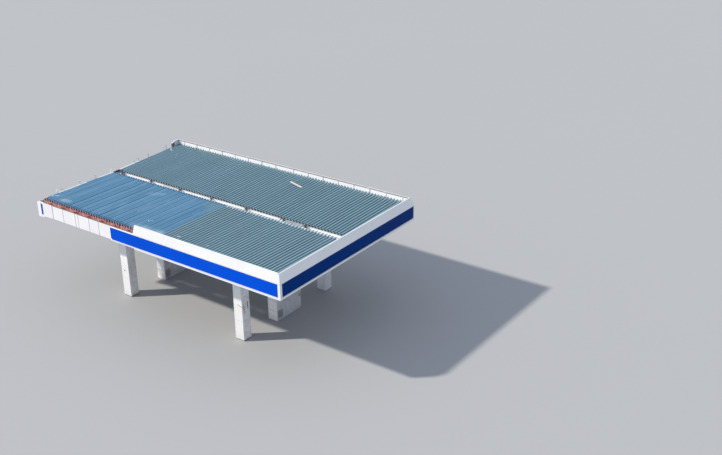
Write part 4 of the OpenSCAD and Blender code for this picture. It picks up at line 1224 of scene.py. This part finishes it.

# short return at the back left: pale inner board, a cut end and an end plate painted dark as shade, and a cap strip
# painted lilac as shade that runs on and dips at its free end
s = Shape()
s.block((-9.2035, 5.445, 5.66), (-9.2005, 5.748, 6.186), 0.001, 2)
s.block((-9.2005, 5.625, 5.700), (-9.1705, 5.746, 5.706), 0.001, 0)
s.prism([(0.0, Z_MID), (0.0, Z_MID + 0.06), (LEAN - 0.002, Z_TOP - 0.023), (LEAN + 0.028, Z_TOP - 0.023), (LEAN + 0.028, Z_MID)],
        lambda p, q, t: (-L + p, t, q), W - 0.560 - 0.0035, W - 0.560 - 0.0004, 0)
s.sweep([[(-9.245, 5.437, 5.70), (-9.245, 5.437, 6.188), (-9.205, 5.437, 6.188), (-9.205, 5.437, 5.70)],
         [(-9.245, 5.30, 5.70), (-9.245, 5.30, 6.146), (-9.215, 5.30, 6.146), (-9.215, 5.30, 5.70)],
         [(-9.245, 5.165, 5.70), (-9.245, 5.165, 6.098), (-9.225, 5.165, 6.098), (-9.225, 5.165, 5.70)]], 0)
w0, w1 = -L + LEAN - 0.008, -L + LEAN + CAP_W - 0.002
s.sweep([[(a, y, z + 0.0012), (a, y, z + 0.0052), (b, y, z + 0.0052), (b, y, z + 0.0012)] for a, b, y, z in
         ((w0, w1, W - 0.20, Z_TOP - 0.0006), (w0, w1, 5.44, Z_TOP - 0.0006), (w0 - 0.004, w1 - 0.012, 5.30, 6.158), (w0 - 0.008, w1 - 0.024, 5.150, 6.102))], 1)
s.sweep([[(b - 0.0005, y, z - 0.024), (b - 0.0005, y, z + 0.004), (b + 0.0025, y, z + 0.0045), (b + 0.0025, y, z - 0.024)] for b, y, z in
         ((w1, W - 0.26, Z_TOP - 0.0006), (w1, 5.44, Z_TOP - 0.0006), (w1 - 0.012, 5.30, 6.158), (w1 - 0.024, 5.150, 6.102))], 1)
s.block((-9.150, 5.315, deck(5.36) + RIB_H + 0.0008), (-9.085, 5.405, deck(5.36) + RIB_H + 0.075), 0.004, 3)
s.make("return_back_left", [m_board_painted_shade, m_white_painted_lilac_shade, m_return_inner, m_comb_pink])

# ---- cap: joint saddles and screws ------------------------------------------------------
s = Shape()
a0, a1 = LEAN - 0.005, LEAN + CAP_W - 0.005
zc = Z_TOP


def saddle(place, c):
    o = [(a0 - 0.0015, zc - 0.020), (a0 - 0.0015, zc + 0.0018), (a1 + 0.0015, zc + 0.0018), (a1 + 0.0015, zc - 0.020),
         (a1 + 0.0003, zc - 0.020), (a1 + 0.0003, zc + 0.0003), (a0 - 0.0003, zc + 0.0003), (a0 - 0.0003, zc - 0.020)]
    s.sweep([[place(u, z, c + d) for u, z in o] for d in (-0.035, 0.035)])
    for d in (-0.022, 0.022):
        for u in (a0 + 0.02, a1 - 0.02):
            s.rivet(place(u, zc + 0.0018, c + d), (0, 0, 1), 0.005, 1)


for x in JF:
    saddle(front_at, x + 0.35)
for x in JB:
    saddle(back_at, x + 0.35)
for y in JR:
    saddle(right_at, y + 0.35)
s.make("cap_saddles", [m_cap, m_galv])

# ---- strips over the parapet studs --------------------------------------------------------
s = Shape()
dark = {1, 3, 6, 10, 13}
for j, x in enumerate(STUD_X):
    mi = 1 if j in dark else 0
    s.block((x - 0.021, W - LIN - 0.0185, 5.882), (x + 0.021, W - LIN - 0.0095, Z_TOP - 0.023), 0.002, mi)
    for z in (5.93, 6.06, 6.16):
        s.rivet((x, W - LIN - 0.0185, z), (0, -1, 0), 0.005, 2)
s.make("stud_covers_back", [m_mark_strip, m_dark_strip, m_galv])
s = Shape()
for x in [v for v in STUD_X if v > UPPER_X0]:
    s.block((x - 0.021, -W + LIN + 0.0095, 5.882), (x + 0.021, -W + LIN + 0.0185, Z_TOP - 0.023), 0.002, 0)
    for z in (5.93, 6.06, 6.16):
        s.rivet((x, -W + LIN + 0.0185, z), (0, 1, 0), 0.005, 1)
for y in FRAME_Y:
    s.block((L - LIN - 0.0185, y - 0.021, 5.902), (L - LIN - 0.0095, y + 0.021, Z_TOP - 0.023), 0.002, 0)
    for z in (5.95, 6.06, 6.16):
        s.rivet((L - LIN - 0.0185, y, z), (-1, 0, 0), 0.005, 1)
s.make("stud_covers_inner", [m_mark_strip, m_galv])

# ---- gutter -----------------------------------------------------------------------------------
s = Shape()
s.block((-9.156, GUT_Y0 + 0.001, GUT_Z - 0.0005), (-8.79, GUT_Y1 - 0.001, GUT_Z + 0.0035), 0.0012, 0)
s.block((-9.176, 0.3555, GUT_Z + 0.001), (-8.80, 0.3650, deck(0.37) + RIB_H + 0.004), 0.0015, 0)
s.block((-9.176, 0.3600, deck(0.37) + RIB_H + 0.0012), (-8.82, 0.470, deck(0.47) + RIB_H + 0.0034), 0.0012, 0)
s.block((-9.176, -0.120, deck(0.08) + RIB_H + 0.0048), (-8.90, -0.050, deck(0.05) + RIB_H + 0.0078), 0.0012, 0)
s.block((-9.176, -0.0535, GUT_Z + 0.001), (-8.90, -0.0505, deck(0.05) + RIB_H + 0.006), 0.0012, 0)
s.block((-9.1765, -0.110, GUT_Z - 0.120), (-9.1715, 0.440, deck(0.37) + RIB_H + 0.002), 0.0015, 0)
for x in (-9.12, -9.02, -8.93, -8.87):
    for y in (GUT_Y0 + 0.10, GUT_Y1 - 0.08):
        s.rivet((x, y, GUT_Z + 0.0034), (0, 0, 1), 0.006, 1)
s.make("gutter_end_cover", [m_dark_cover, m_galv])
s = Shape()
STRAPS = (-6.16, -3.66, -1.06, 1.69, 4.29, 5.99)
for x in STRAPS:
    for dx in (-0.04, 0.04):
        for y in (GUT_Y0 + 0.018, GUT_Y1 - 0.018):
            s.bolt((x + dx, y, GUT_Z + 0.004), (0, 0, 1), 0.006, 0, 1)
    # stiffening rib pressed along the strap
    s.tube([(x, GUT_Y0 + 0.05 + (GUT_Y1 - GUT_Y0 - 0.10) * i / 6, GUT_Z + 0.003) for i in range(7)], 0.006, 8, 2)
s.make("gutter_strap_fixings", [m_galv, m_bolt, m_gutter_strap])
# dark joint plates on the back wall of the gutter, each with a folded foot on the floor
s = Shape()
for x, w, mt in ((-6.28, 0.085, 1), (-3.78, 0.125, 1), (-1.175, 0.062, 1), (1.555, 0.100, 0), (4.405, 0.085, 1)):
    lo, hi = GUT_Z - GUT_D + 0.0006, GUT_Z - 0.0015
    rings = []
    for d in (-w, -w * 0.4, w * 0.35, w):
        b = rnd.uniform(0.0, 0.0015)
        rings.append([(x + d, GUT_Y1 - 0.0045, lo), (x + d, GUT_Y1 - 0.0045, hi), (x + d, GUT_Y1 - 0.0085 - b, hi),
                      (x + d, GUT_Y1 - 0.0085 - b, lo + 0.014), (x + d, GUT_Y1 - 0.075, lo + 0.005), (x + d, GUT_Y1 - 0.075, lo)])
    s.sweep(rings, mt)
    for q in (-w * 0.6, w * 0.6):
        for z in (lo + 0.05, hi - 0.03):
            s.rivet((x + q, GUT_Y1 - 0.0092, z), (0, -1, 0), 0.0045, 2)
s.make("gutter_joint_plates", [m_strap_dark, m_strap_grey, m_galv])
# drip strip that hangs from the edge of the back sheets, dark and notched at each rib as painted shade of the sheet
# ends
s = Shape()
for x0, x1, deep in ((-8.78, -6.02, 0.042), (-6.00, -3.62, 0.060), (-3.60, -1.12, 0.048), (-1.10, 1.46, 0.024), (1.48, 4.38, 0.034), (4.40, 6.30, 0.052), (6.32, 9.08, 0.034)):
    top = deck(0.37) - 0.0008
    pts = [(x0, deep)]
    for i in range(-1, N_RIBS + 1):
        x = DECK_X0 + PITCH * i
        cut = deep * rnd.uniform(0.20, 0.42)
        j = rnd.uniform(-0.004, 0.004)
        pts += [(x + q, d) for q, d in ((0.012 + j, deep), (0.128 + j, deep), (0.150 + j, cut), (PITCH - 0.010 + j, cut)) if x0 < x + q < x1]
    pts.append((x1, pts[-1][1]))
    s.sweep([[(x, 0.3652, top), (x, 0.3632, top), (x, 0.3626, top - d), (x, 0.3652, top - d)] for x, d in pts], 0)
s.make("gutter_drip_strip", [m_drip_painted_shade])
s = Shape()
z = GUT_Z + 0.0045
for x0, x1, ya, yb in ((4.62, 5.10, -0.02, 0.384), (5.12, 5.88, GUT_Y0 + 0.004, 0.388)):
    n, rings = 8, []
    for k in range(n + 1):
        x = x0 + (x1 - x0) * k / n
        a, b = rnd.uniform(-0.006, 0.006), rnd.uniform(-0.006, 0.006)
        rings.append([(x, ya + a, z), (x, ya + a, z + 0.0016), (x, (ya + yb) / 2, z + 0.005 + 0.004 * math.sin(k * 1.9)), (x, yb + b * 0.5, z + 0.0016), (x, yb + b * 0.5, z)])
    s.sweep(rings)
for x in (4.66, 5.06, 5.2, 5.5, 5.8):
    for y in (0.02, 0.365):
        s.rivet((x, y, z + 0.0022), (0, 0, 1), 0.006, 1)
s.make("gutter_patch_cover", [m_dull_cover, m_galv])
s = Shape()
for x in (-6.16, -3.66, -1.06, 1.69, 4.29, 5.99):
    zt, zb, e = GUT_Z - 0.002, GUT_Z - GUT_D, 0.0052
    o = [(GUT_Y0 + 0.004, zt), (GUT_Y0 + 0.004, zb), (GUT_Y1 - 0.004, zb), (GUT_Y1 - 0.004, zt),
         (GUT_Y1 - 0.004 - e, zt), (GUT_Y1 - 0.004 - e, zb + e), (GUT_Y0 + 0.004 + e, zb + e), (GUT_Y0 + 0.004 + e, zt)]
    s.sweep([[(x + d, y, z) for y, z in o] for d in (-0.02, 0.02)])
s.make("gutter_joint_seams", [m_sealant])
s = Shape()
for cx in ROWS:
    c = Vector((cx + 0.24, (GUT_Y0 + GUT_Y1) / 2, GUT_Z - GUT_D))
    ring = [(c.x + 0.068 * math.cos(q), c.y + 0.068 * math.sin(q), c.z + 0.003) for q in (math.pi * 2 * i / 20 for i in range(21))]
    s.tube(ring, 0.004, 6)
    for j in range(8):
        q = math.pi * 2 * j / 8
        s.tube([(c.x + 0.066 * math.cos(a) * math.cos(q), c.y + 0.066 * math.cos(a) * math.sin(q), c.z + 0.004 + 0.075 * math.sin(a))
                for a in (math.radians(15 * i) for i in range(7))], 0.0022, 6)
    s.disc((c.x, c.y, c.z + 0.075), (0, 0, 1), 0.014, 0.006, 10)
s.make("gutter_strainers", [m_galv])
s = Shape()
for cx in ROWS:
    cy = (GUT_Y0 + GUT_Y1) / 2
    px = cx + 0.24
    for z in (5.25, 4.6, 3.2, 1.8, 0.5):
        rings = []
        for i in range(25):
            q = math.pi * 2 * i / 24
            rings.append([(px + r * math.cos(q), cy + r * math.sin(q), z + h) for r, h in ((0.0552, -0.012), (0.0582, -0.012), (0.0582, 0.012), (0.0552, 0.012))])
        s.sweep(rings[:-1], 0, True)
    # funnel under the outlet
    rings = []
    for i in range(24):
        q = math.pi * 2 * i / 24
        rings.append([(px + r * math.cos(q), cy + r * math.sin(q), z) for r, z in
                      ((0.0562, 5.42), (0.060, 5.42), (0.074, 5.47), (0.074, 5.505), (0.071, 5.505), (0.071, 5.472), (0.0562, 5.428))])
    s.sweep(rings, 0, True)
s.make("downpipe_collars", [m_zinc_pipe])

# ---- columns and piers: beads, joints, small things -----------------------------------------------
s = Shape()
cols = [(x, -BAY_Y, 0.305, 0.06) for x in ROWS] + [(x + 0.03, BAY_Y + 0.03, 0.305, 0.02) for x in ROWS]
for cx, cy, h, z0 in cols:
    for i in (-1, 1):
        for j in (-1, 1):
            t, w = 0.0015, 0.028
            x, y = cx + i * h, cy + j * h
            o = [(0, 0), (-w, 0), (-w, -t), (t * 0.2 - t, -t), (-t * 0.8, -w), (0, -w)]
            o = [(t * 0.7, t * 0.7), (-w, t * 0.7), (-w, -0.0004), (-0.0004, -0.0004), (-0.0004, -w), (t * 0.7, -w)]
            s.sweep([[(x + i * p, y + j * q, z) for p, q in o] for z in (z0 + 0.002, 4.958)])
s.make("column_corner_beads", [m_bead])
s = Shape()
for cx, cy, h, z0 in cols:
    for z in (1.22, 2.44, 3.66):
        for i in (-1, 1):
            s.block((cx - h + 0.030, cy + i * h - 0.0008, z - 0.003), (cx + h - 0.030, cy + i * h + 0.0012 * i + (0.0004 * i), z + 0.003), 0.0005, 0)
            s.block((cx + i * h - 0.0008, cy - h + 0.030, z - 0.003), (cx + i * h + 0.0016 * i, cy + h - 0.030, z + 0.003), 0.0005, 0)
s.make("column_joint_beads", [m_mark_strip])
s = Shape()
for cx, cy, h, z0 in cols:
    for z in [z0 + 0.05 + 0.4 * k for k in range(13)]:
        if z > 4.93:
            continue
        for d in (-0.24, 0.24):
            for n in ((0, -1), (0, 1), (1, 0), (-1, 0)):
                p = (cx + d * abs(n[1]) + n[0] * h, cy + d * abs(n[0]) + n[1] * h, z)
                s.rivet(p, (n[0], n[1], 0), 0.005)
s.make("column_screws", [m_galv])

# round cable opening on the front left column, with its collar
s = Shape()
hx, hy, hz = -4.575, -3.955, 1.70
rings = []
for i in range(20):
    q = math.pi * 2 * i / 20
    rings.append([(hx + r * math.cos(q), hy - d, hz + r * math.sin(q)) for r, d in ((0.046, -0.0005), (0.046, 0.006), (0.040, 0.009), (0.034, 0.006), (0.034, -0.0005))])
s.sweep(rings, 0, True)
s.disc((hx, hy + 0.001, hz), (0, -1, 0), 0.0345, 0.003, 20, 1)
s.make("column_cable_opening", [m_mark_strip, m_rubber])

s = Shape()
PX, PY, PW, PD = 0.06, -0.105, 0.335, 1.07
for cx in ROWS:
    x0, x1, y0, y1 = cx + PX - PW, cx + PX + PW, PY - PD, PY + PD
    for z in [0.02 + 0.62 * k for k in range(1, 8)]:
        s.block((x0 + 0.03, y0 - 0.0012, z - 0.004), (x1 - 0.03, y0 + 0.0006, z + 0.004), 0.0005, 0)
        s.block((x0 + 0.03, y1 - 0.0006, z - 0.004), (x1 - 0.03, y1 + 0.0012, z + 0.004), 0.0005, 0)
    for y in (PY - 0.36, PY + 0.36):
        s.block((x1 - 0.0006, y - 0.005, 0.03), (x1 + 0.0014, y + 0.005, 4.95), 0.0005, 0)
        s.block((x0 - 0.0014, y - 0.005, 0.03), (x0 + 0.0006, y + 0.005, 4.95), 0.0005, 0)
    for i, x in ((-1, x0), (1, x1)):
        for j, y in ((-1, y0), (1, y1)):
            t, w = 0.0015, 0.032
            o = [(t * 0.7, t * 0.7), (-w, t * 0.7), (-w, -0.0004), (-0.0004, -0.0004), (-0.0004, -w), (t * 0.7, -w)]
            s.sweep([[(x + i * p, y + j * q, z) for p, q in o] for z in (0.024, 4.957)], 1)
s.make("pier_joints_and_beads", [m_dark_strip, m_bead])
s = Shape()
for cx in ROWS:
    x0, x1, y0, y1 = cx + PX - PW, cx + PX + PW, PY - PD, PY + PD
    for z in [0.18 + 0.31 * k for k in range(16)]:
        if z > 4.93:
            continue
        for x in (x0 + 0.05, (x0 + x1) / 2, x1 - 0.05):
            s.rivet((x, y0, z), (0, -1, 0), 0.005)
            s.rivet((x, y1, z), (0, 1, 0), 0.005)
        for y in (y0 + 0.05, PY - 0.38, PY - 0.34, PY + 0.34, PY + 0.38, y1 - 0.05):
            s.rivet((x0, y, z), (-1, 0, 0), 0.005)
            s.rivet((x1, y, z), (1, 0, 0), 0.005)
s.make("pier_screws", [m_galv])

# ---- open left edge: folded strips, straps ------------------------------------------------------------
s = Shape()
for y0, y1, bow in ((-4.5, -2.35, 0.006), (-1.5, -0.15, 0.004), (0.4, 2.1, 0.020)):
    n, rings = 18, []
    for k in range(n + 1):
        t = k / n
        y = y0 + (y1 - y0) * t
        b = bow * math.sin(math.pi * t)
        zt = deck(y) + RIB_H + 0.0006
        lift = bow * 0.5 * (1 - math.cos(2 * math.pi * t)) * 0.5
        xo, xi = -9.182 - b * 0.3, -9.088
        rings.append([(xo, y, zt - 0.024 + lift), (xo, y, zt + 0.003 + lift), (xo + 0.002, y, zt + 0.005 + lift), (xi, y, zt + 0.005),
                      (xi + 0.002, y, zt + 0.0025), (xi, y, zt), (xo + 0.0035, y, zt + lift), (xo + 0.0035, y, zt - 0.024 + lift)])
    s.sweep(rings)
    for k in range(int((y1 - y0) / 0.28)):
        y = y0 + 0.14 + 0.28 * k
        s.bolt((-9.106, y, deck(y) + RIB_H + 0.0056), (0, 0, 1), 0.006, 1, 2)
strips = s.make("left_edge_strips", [m_white_strip, m_bolt, m_rubber])
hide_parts("left_edge_trim")

s = Shape()


def hook(y, top, reach, width=0.04, mat=0, drop=0.05, skew=0.0):
    """strap fixed to the end beam, bent outwards at its top"""
    x = -9.171
    base = deck(y) - 0.16
    r = reach / 2
    pts = [(x - 0.0025, y, base), (x - 0.0025, y, base + 0.10), (x - 0.016, y, base + 0.15), (x - 0.018, y, deck(y) + 0.10)]
    pts += [(x - 0.018 - r * (1 - math.cos(a)), y + skew * math.sin(a / 2), top - r + r * math.sin(a)) for a in (math.radians(15 * i) for i in range(13))]
    pts.append((x - 0.018 - 2 * r, y + skew, top - r - drop))
    s.strap(pts, (0, 1, 0), width, 0.005, mat)
    s.bolt((x - 0.005, y, base + 0.03), (-1, 0, 0), 0.007, 2, None)
    s.bolt((x - 0.005, y, base + 0.075), (-1, 0, 0), 0.007, 2, None)


for y, top, reach, w, mt in ((-4.20, 6.03, 0.09, 0.045, 1), (-2.82, 6.08, 0.12, 0.06, 0), (-1.54, 6.07, 0.12, 0.06, 0), (1.72, 6.03, 0.10, 0.05, 0),
                             (2.10, 6.05, 0.13, 0.07, 1), (2.98, 6.06, 0.12, 0.06, 1), (4.40, 6.12, 0.12, 0.06, 0), (4.64, 6.16, 0.10, 0.06, 1)):
    hook(y, top, reach, w, mt)


def hoop(y, half, top, mat=0, width=0.035):
    """strap that stands as an arch along the edge, both feet on the end beam"""
    x = -9.176
    base = deck(y) - 0.14
    pts = [(x, y - half, base), (x - 0.012, y - half, base + 0.12), (x - 0.016, y - half, deck(y) + 0.09)]
    z1 = top - half
    pts += [(x - 0.016, y - half * math.cos(a), z1 + half * math.sin(a)) for a in (math.radians(15 * i) for i in range(1, 12))]
    pts += [(x - 0.016, y + half, deck(y) + 0.09), (x - 0.012, y + half, base + 0.12), (x, y + half, base)]
    s.strap(pts, (1, 0, 0), width * 0.25 + 0.012, 0.005, mat)


hoop(-4.55, 0.12, 6.10, 0, 0.07)
hoop(-0.19, 0.14, 6.02, 0, 0.07)
s.make("edge_straps", [m_pale_strap, m_pink_strap, m_bolt])

# ---- small loose things on the roof --------------------------------------------------------------------
# plank across the ribs
s = Shape()
a, b = Vector((1.50, 4.575, 0)), Vector((2.62, 4.235, 0))
d = (b - a).normalized()
side = Vector((-d.y, d.x, 0))
rings = []
for k in range(13):
    t = k / 12
    p = a.lerp(b, t)
    warp = 0.003 * math.sin(3 * t + 0.4)
    zl = deck(max(abs((p + side * 0.065).y), abs((p - side * 0.065).y))) + RIB_H + 0.0008 + abs(warp)
    o = [(-0.052, 0.003), (-0.049, 0.0), (0.049, 0.0), (0.052, 0.003), (0.052, 0.034), (0.048, 0.038), (-0.048, 0.038), (-0.052, 0.034)]
    rings.append([(p.x + side.x * q, p.y + side.y * q, zl + h) for q, h in o])
s.sweep(rings)
s.make("roof_plank", [m_timber])

# torn scraps of film, each a bent closed leaf resting on the crests
s = Shape()


def scrap(x, y, w, l, turn, curl=0.02, mat=0):
    co, si = math.cos(turn), math.sin(turn)
    top = []
    nu, nv = 6, 4
    for j in range(nv + 1):
        for i in range(nu + 1):
            u, v = i / nu - 0.5, j / nv - 0.5
            wob = rnd.uniform(-0.08, 0.08)
            p, q = l * (u + 0.04 * wob), w * (v * (1 - 0.5 * u) + 0.15 * wob)
            px, py = x + p * co - q * si, y + p * si + q * co
            pz = deck(py) + RIB_H + 0.002 + (FALL * w) + curl * (4 * u * u) * (0.6 + 0.4 * v * 2)
            top.append((px, py, pz))
    n = (nu + 1) * (nv + 1)
    vs = top + [(p[0], p[1], p[2] - 0.0012) for p in top]
    fs = []
    for j in range(nv):
        for i in range(nu):
            k = j * (nu + 1) + i
            fs += [(k, k + 1, k + nu + 2, k + nu + 1), (n + k, n + k + nu + 1, n + k + nu + 2, n + k + 1)]
    for i in range(nu):
        fs += [(i, n + i, n + i + 1, i + 1), (nv * (nu + 1) + i, nv * (nu + 1) + i + 1, n + nv * (nu + 1) + i + 1, n + nv * (nu + 1) + i)]
    for j in range(nv):
        k = j * (nu + 1)
        fs += [(k, k + nu + 1, n + k + nu + 1, n + k), (k + nu, n + k + nu, n + k + 2 * nu + 1, k + 2 * nu + 1)]
    s.add(vs, fs, mat)


scrap(-1.42, -4.43, 0.04, 0.24, -0.5, 0.03)
scrap(-1.33, -4.33, 0.035, 0.16, 0.9, 0.03)
scrap(3.60, -4.97, 0.07, 0.13, 0.6, 0.03)
scrap(1.48, -4.98, 0.08, 0.22, 0.1, 0.02)
scrap(1.22, -5.02, 0.05, 0.10, 1.0, 0.02)
scrap(-8.80, -4.92, 0.10, 0.26, 0.5, 0.03)
scrap(-8.98, -5.10, 0.08, 0.20, -0.6, 0.02)
scrap(-8.60, -4.75, 0.06, 0.16, 0.2, 0.02)
scrap(-8.78, 4.68, 0.07, 0.50, -0.58, 0.02)
s.make("film_scraps", [m_scrap])
# a pale cord-like fold of film that lies along one rib
s = Shape()
s.strap([(-3.04 + 0.008 * math.sin(9 * t), -3.74 + 0.95 * t, deck(-3.74 + 0.95 * t) + RIB_H + 0.0065) for t in (i / 14 for i in range(15))], (1, 0, 0), 0.022, 0.005)
s.make("film_fold", [m_scrap])

# corner plate at the front left end of the deck
s = Shape()
z = deck(5.5) + RIB_H
s.block((-9.172, -5.615, z + 0.001), (-9.030, -5.43, z + 0.007), 0.002, 0)
s.block((-9.1745, -5.615, z - 0.055), (-9.1705, -5.43, z + 0.007), 0.0015, 0)
for dy in (0.04, 0.14):
    s.bolt((-9.075, -5.615 + dy, z + 0.007), (0, 0, 1), 0.007, 1, None)
s.make("corner_plate", [m_beige_plate, m_bolt])

# ---- floor ----------------------------------------------------------------------------------------------
g = Mat("studio_floor")
m_floor = g.done(g.mix(g.noise(0.02, 2), (0.455, 0.450, 0.440), (0.475, 0.470, 0.460)), 0.9, spec=0.1)
me = bpy.data.meshes.new("floor")
me.from_pydata([(-300, -300, 0), (300, -300, 0), (300, 300, 0), (-300, 300, 0)], [], [(0, 1, 2, 3)])
me.materials.append(m_floor)
fl = bpy.data.objects.new("floor", me)
scene.collection.objects.link(fl)
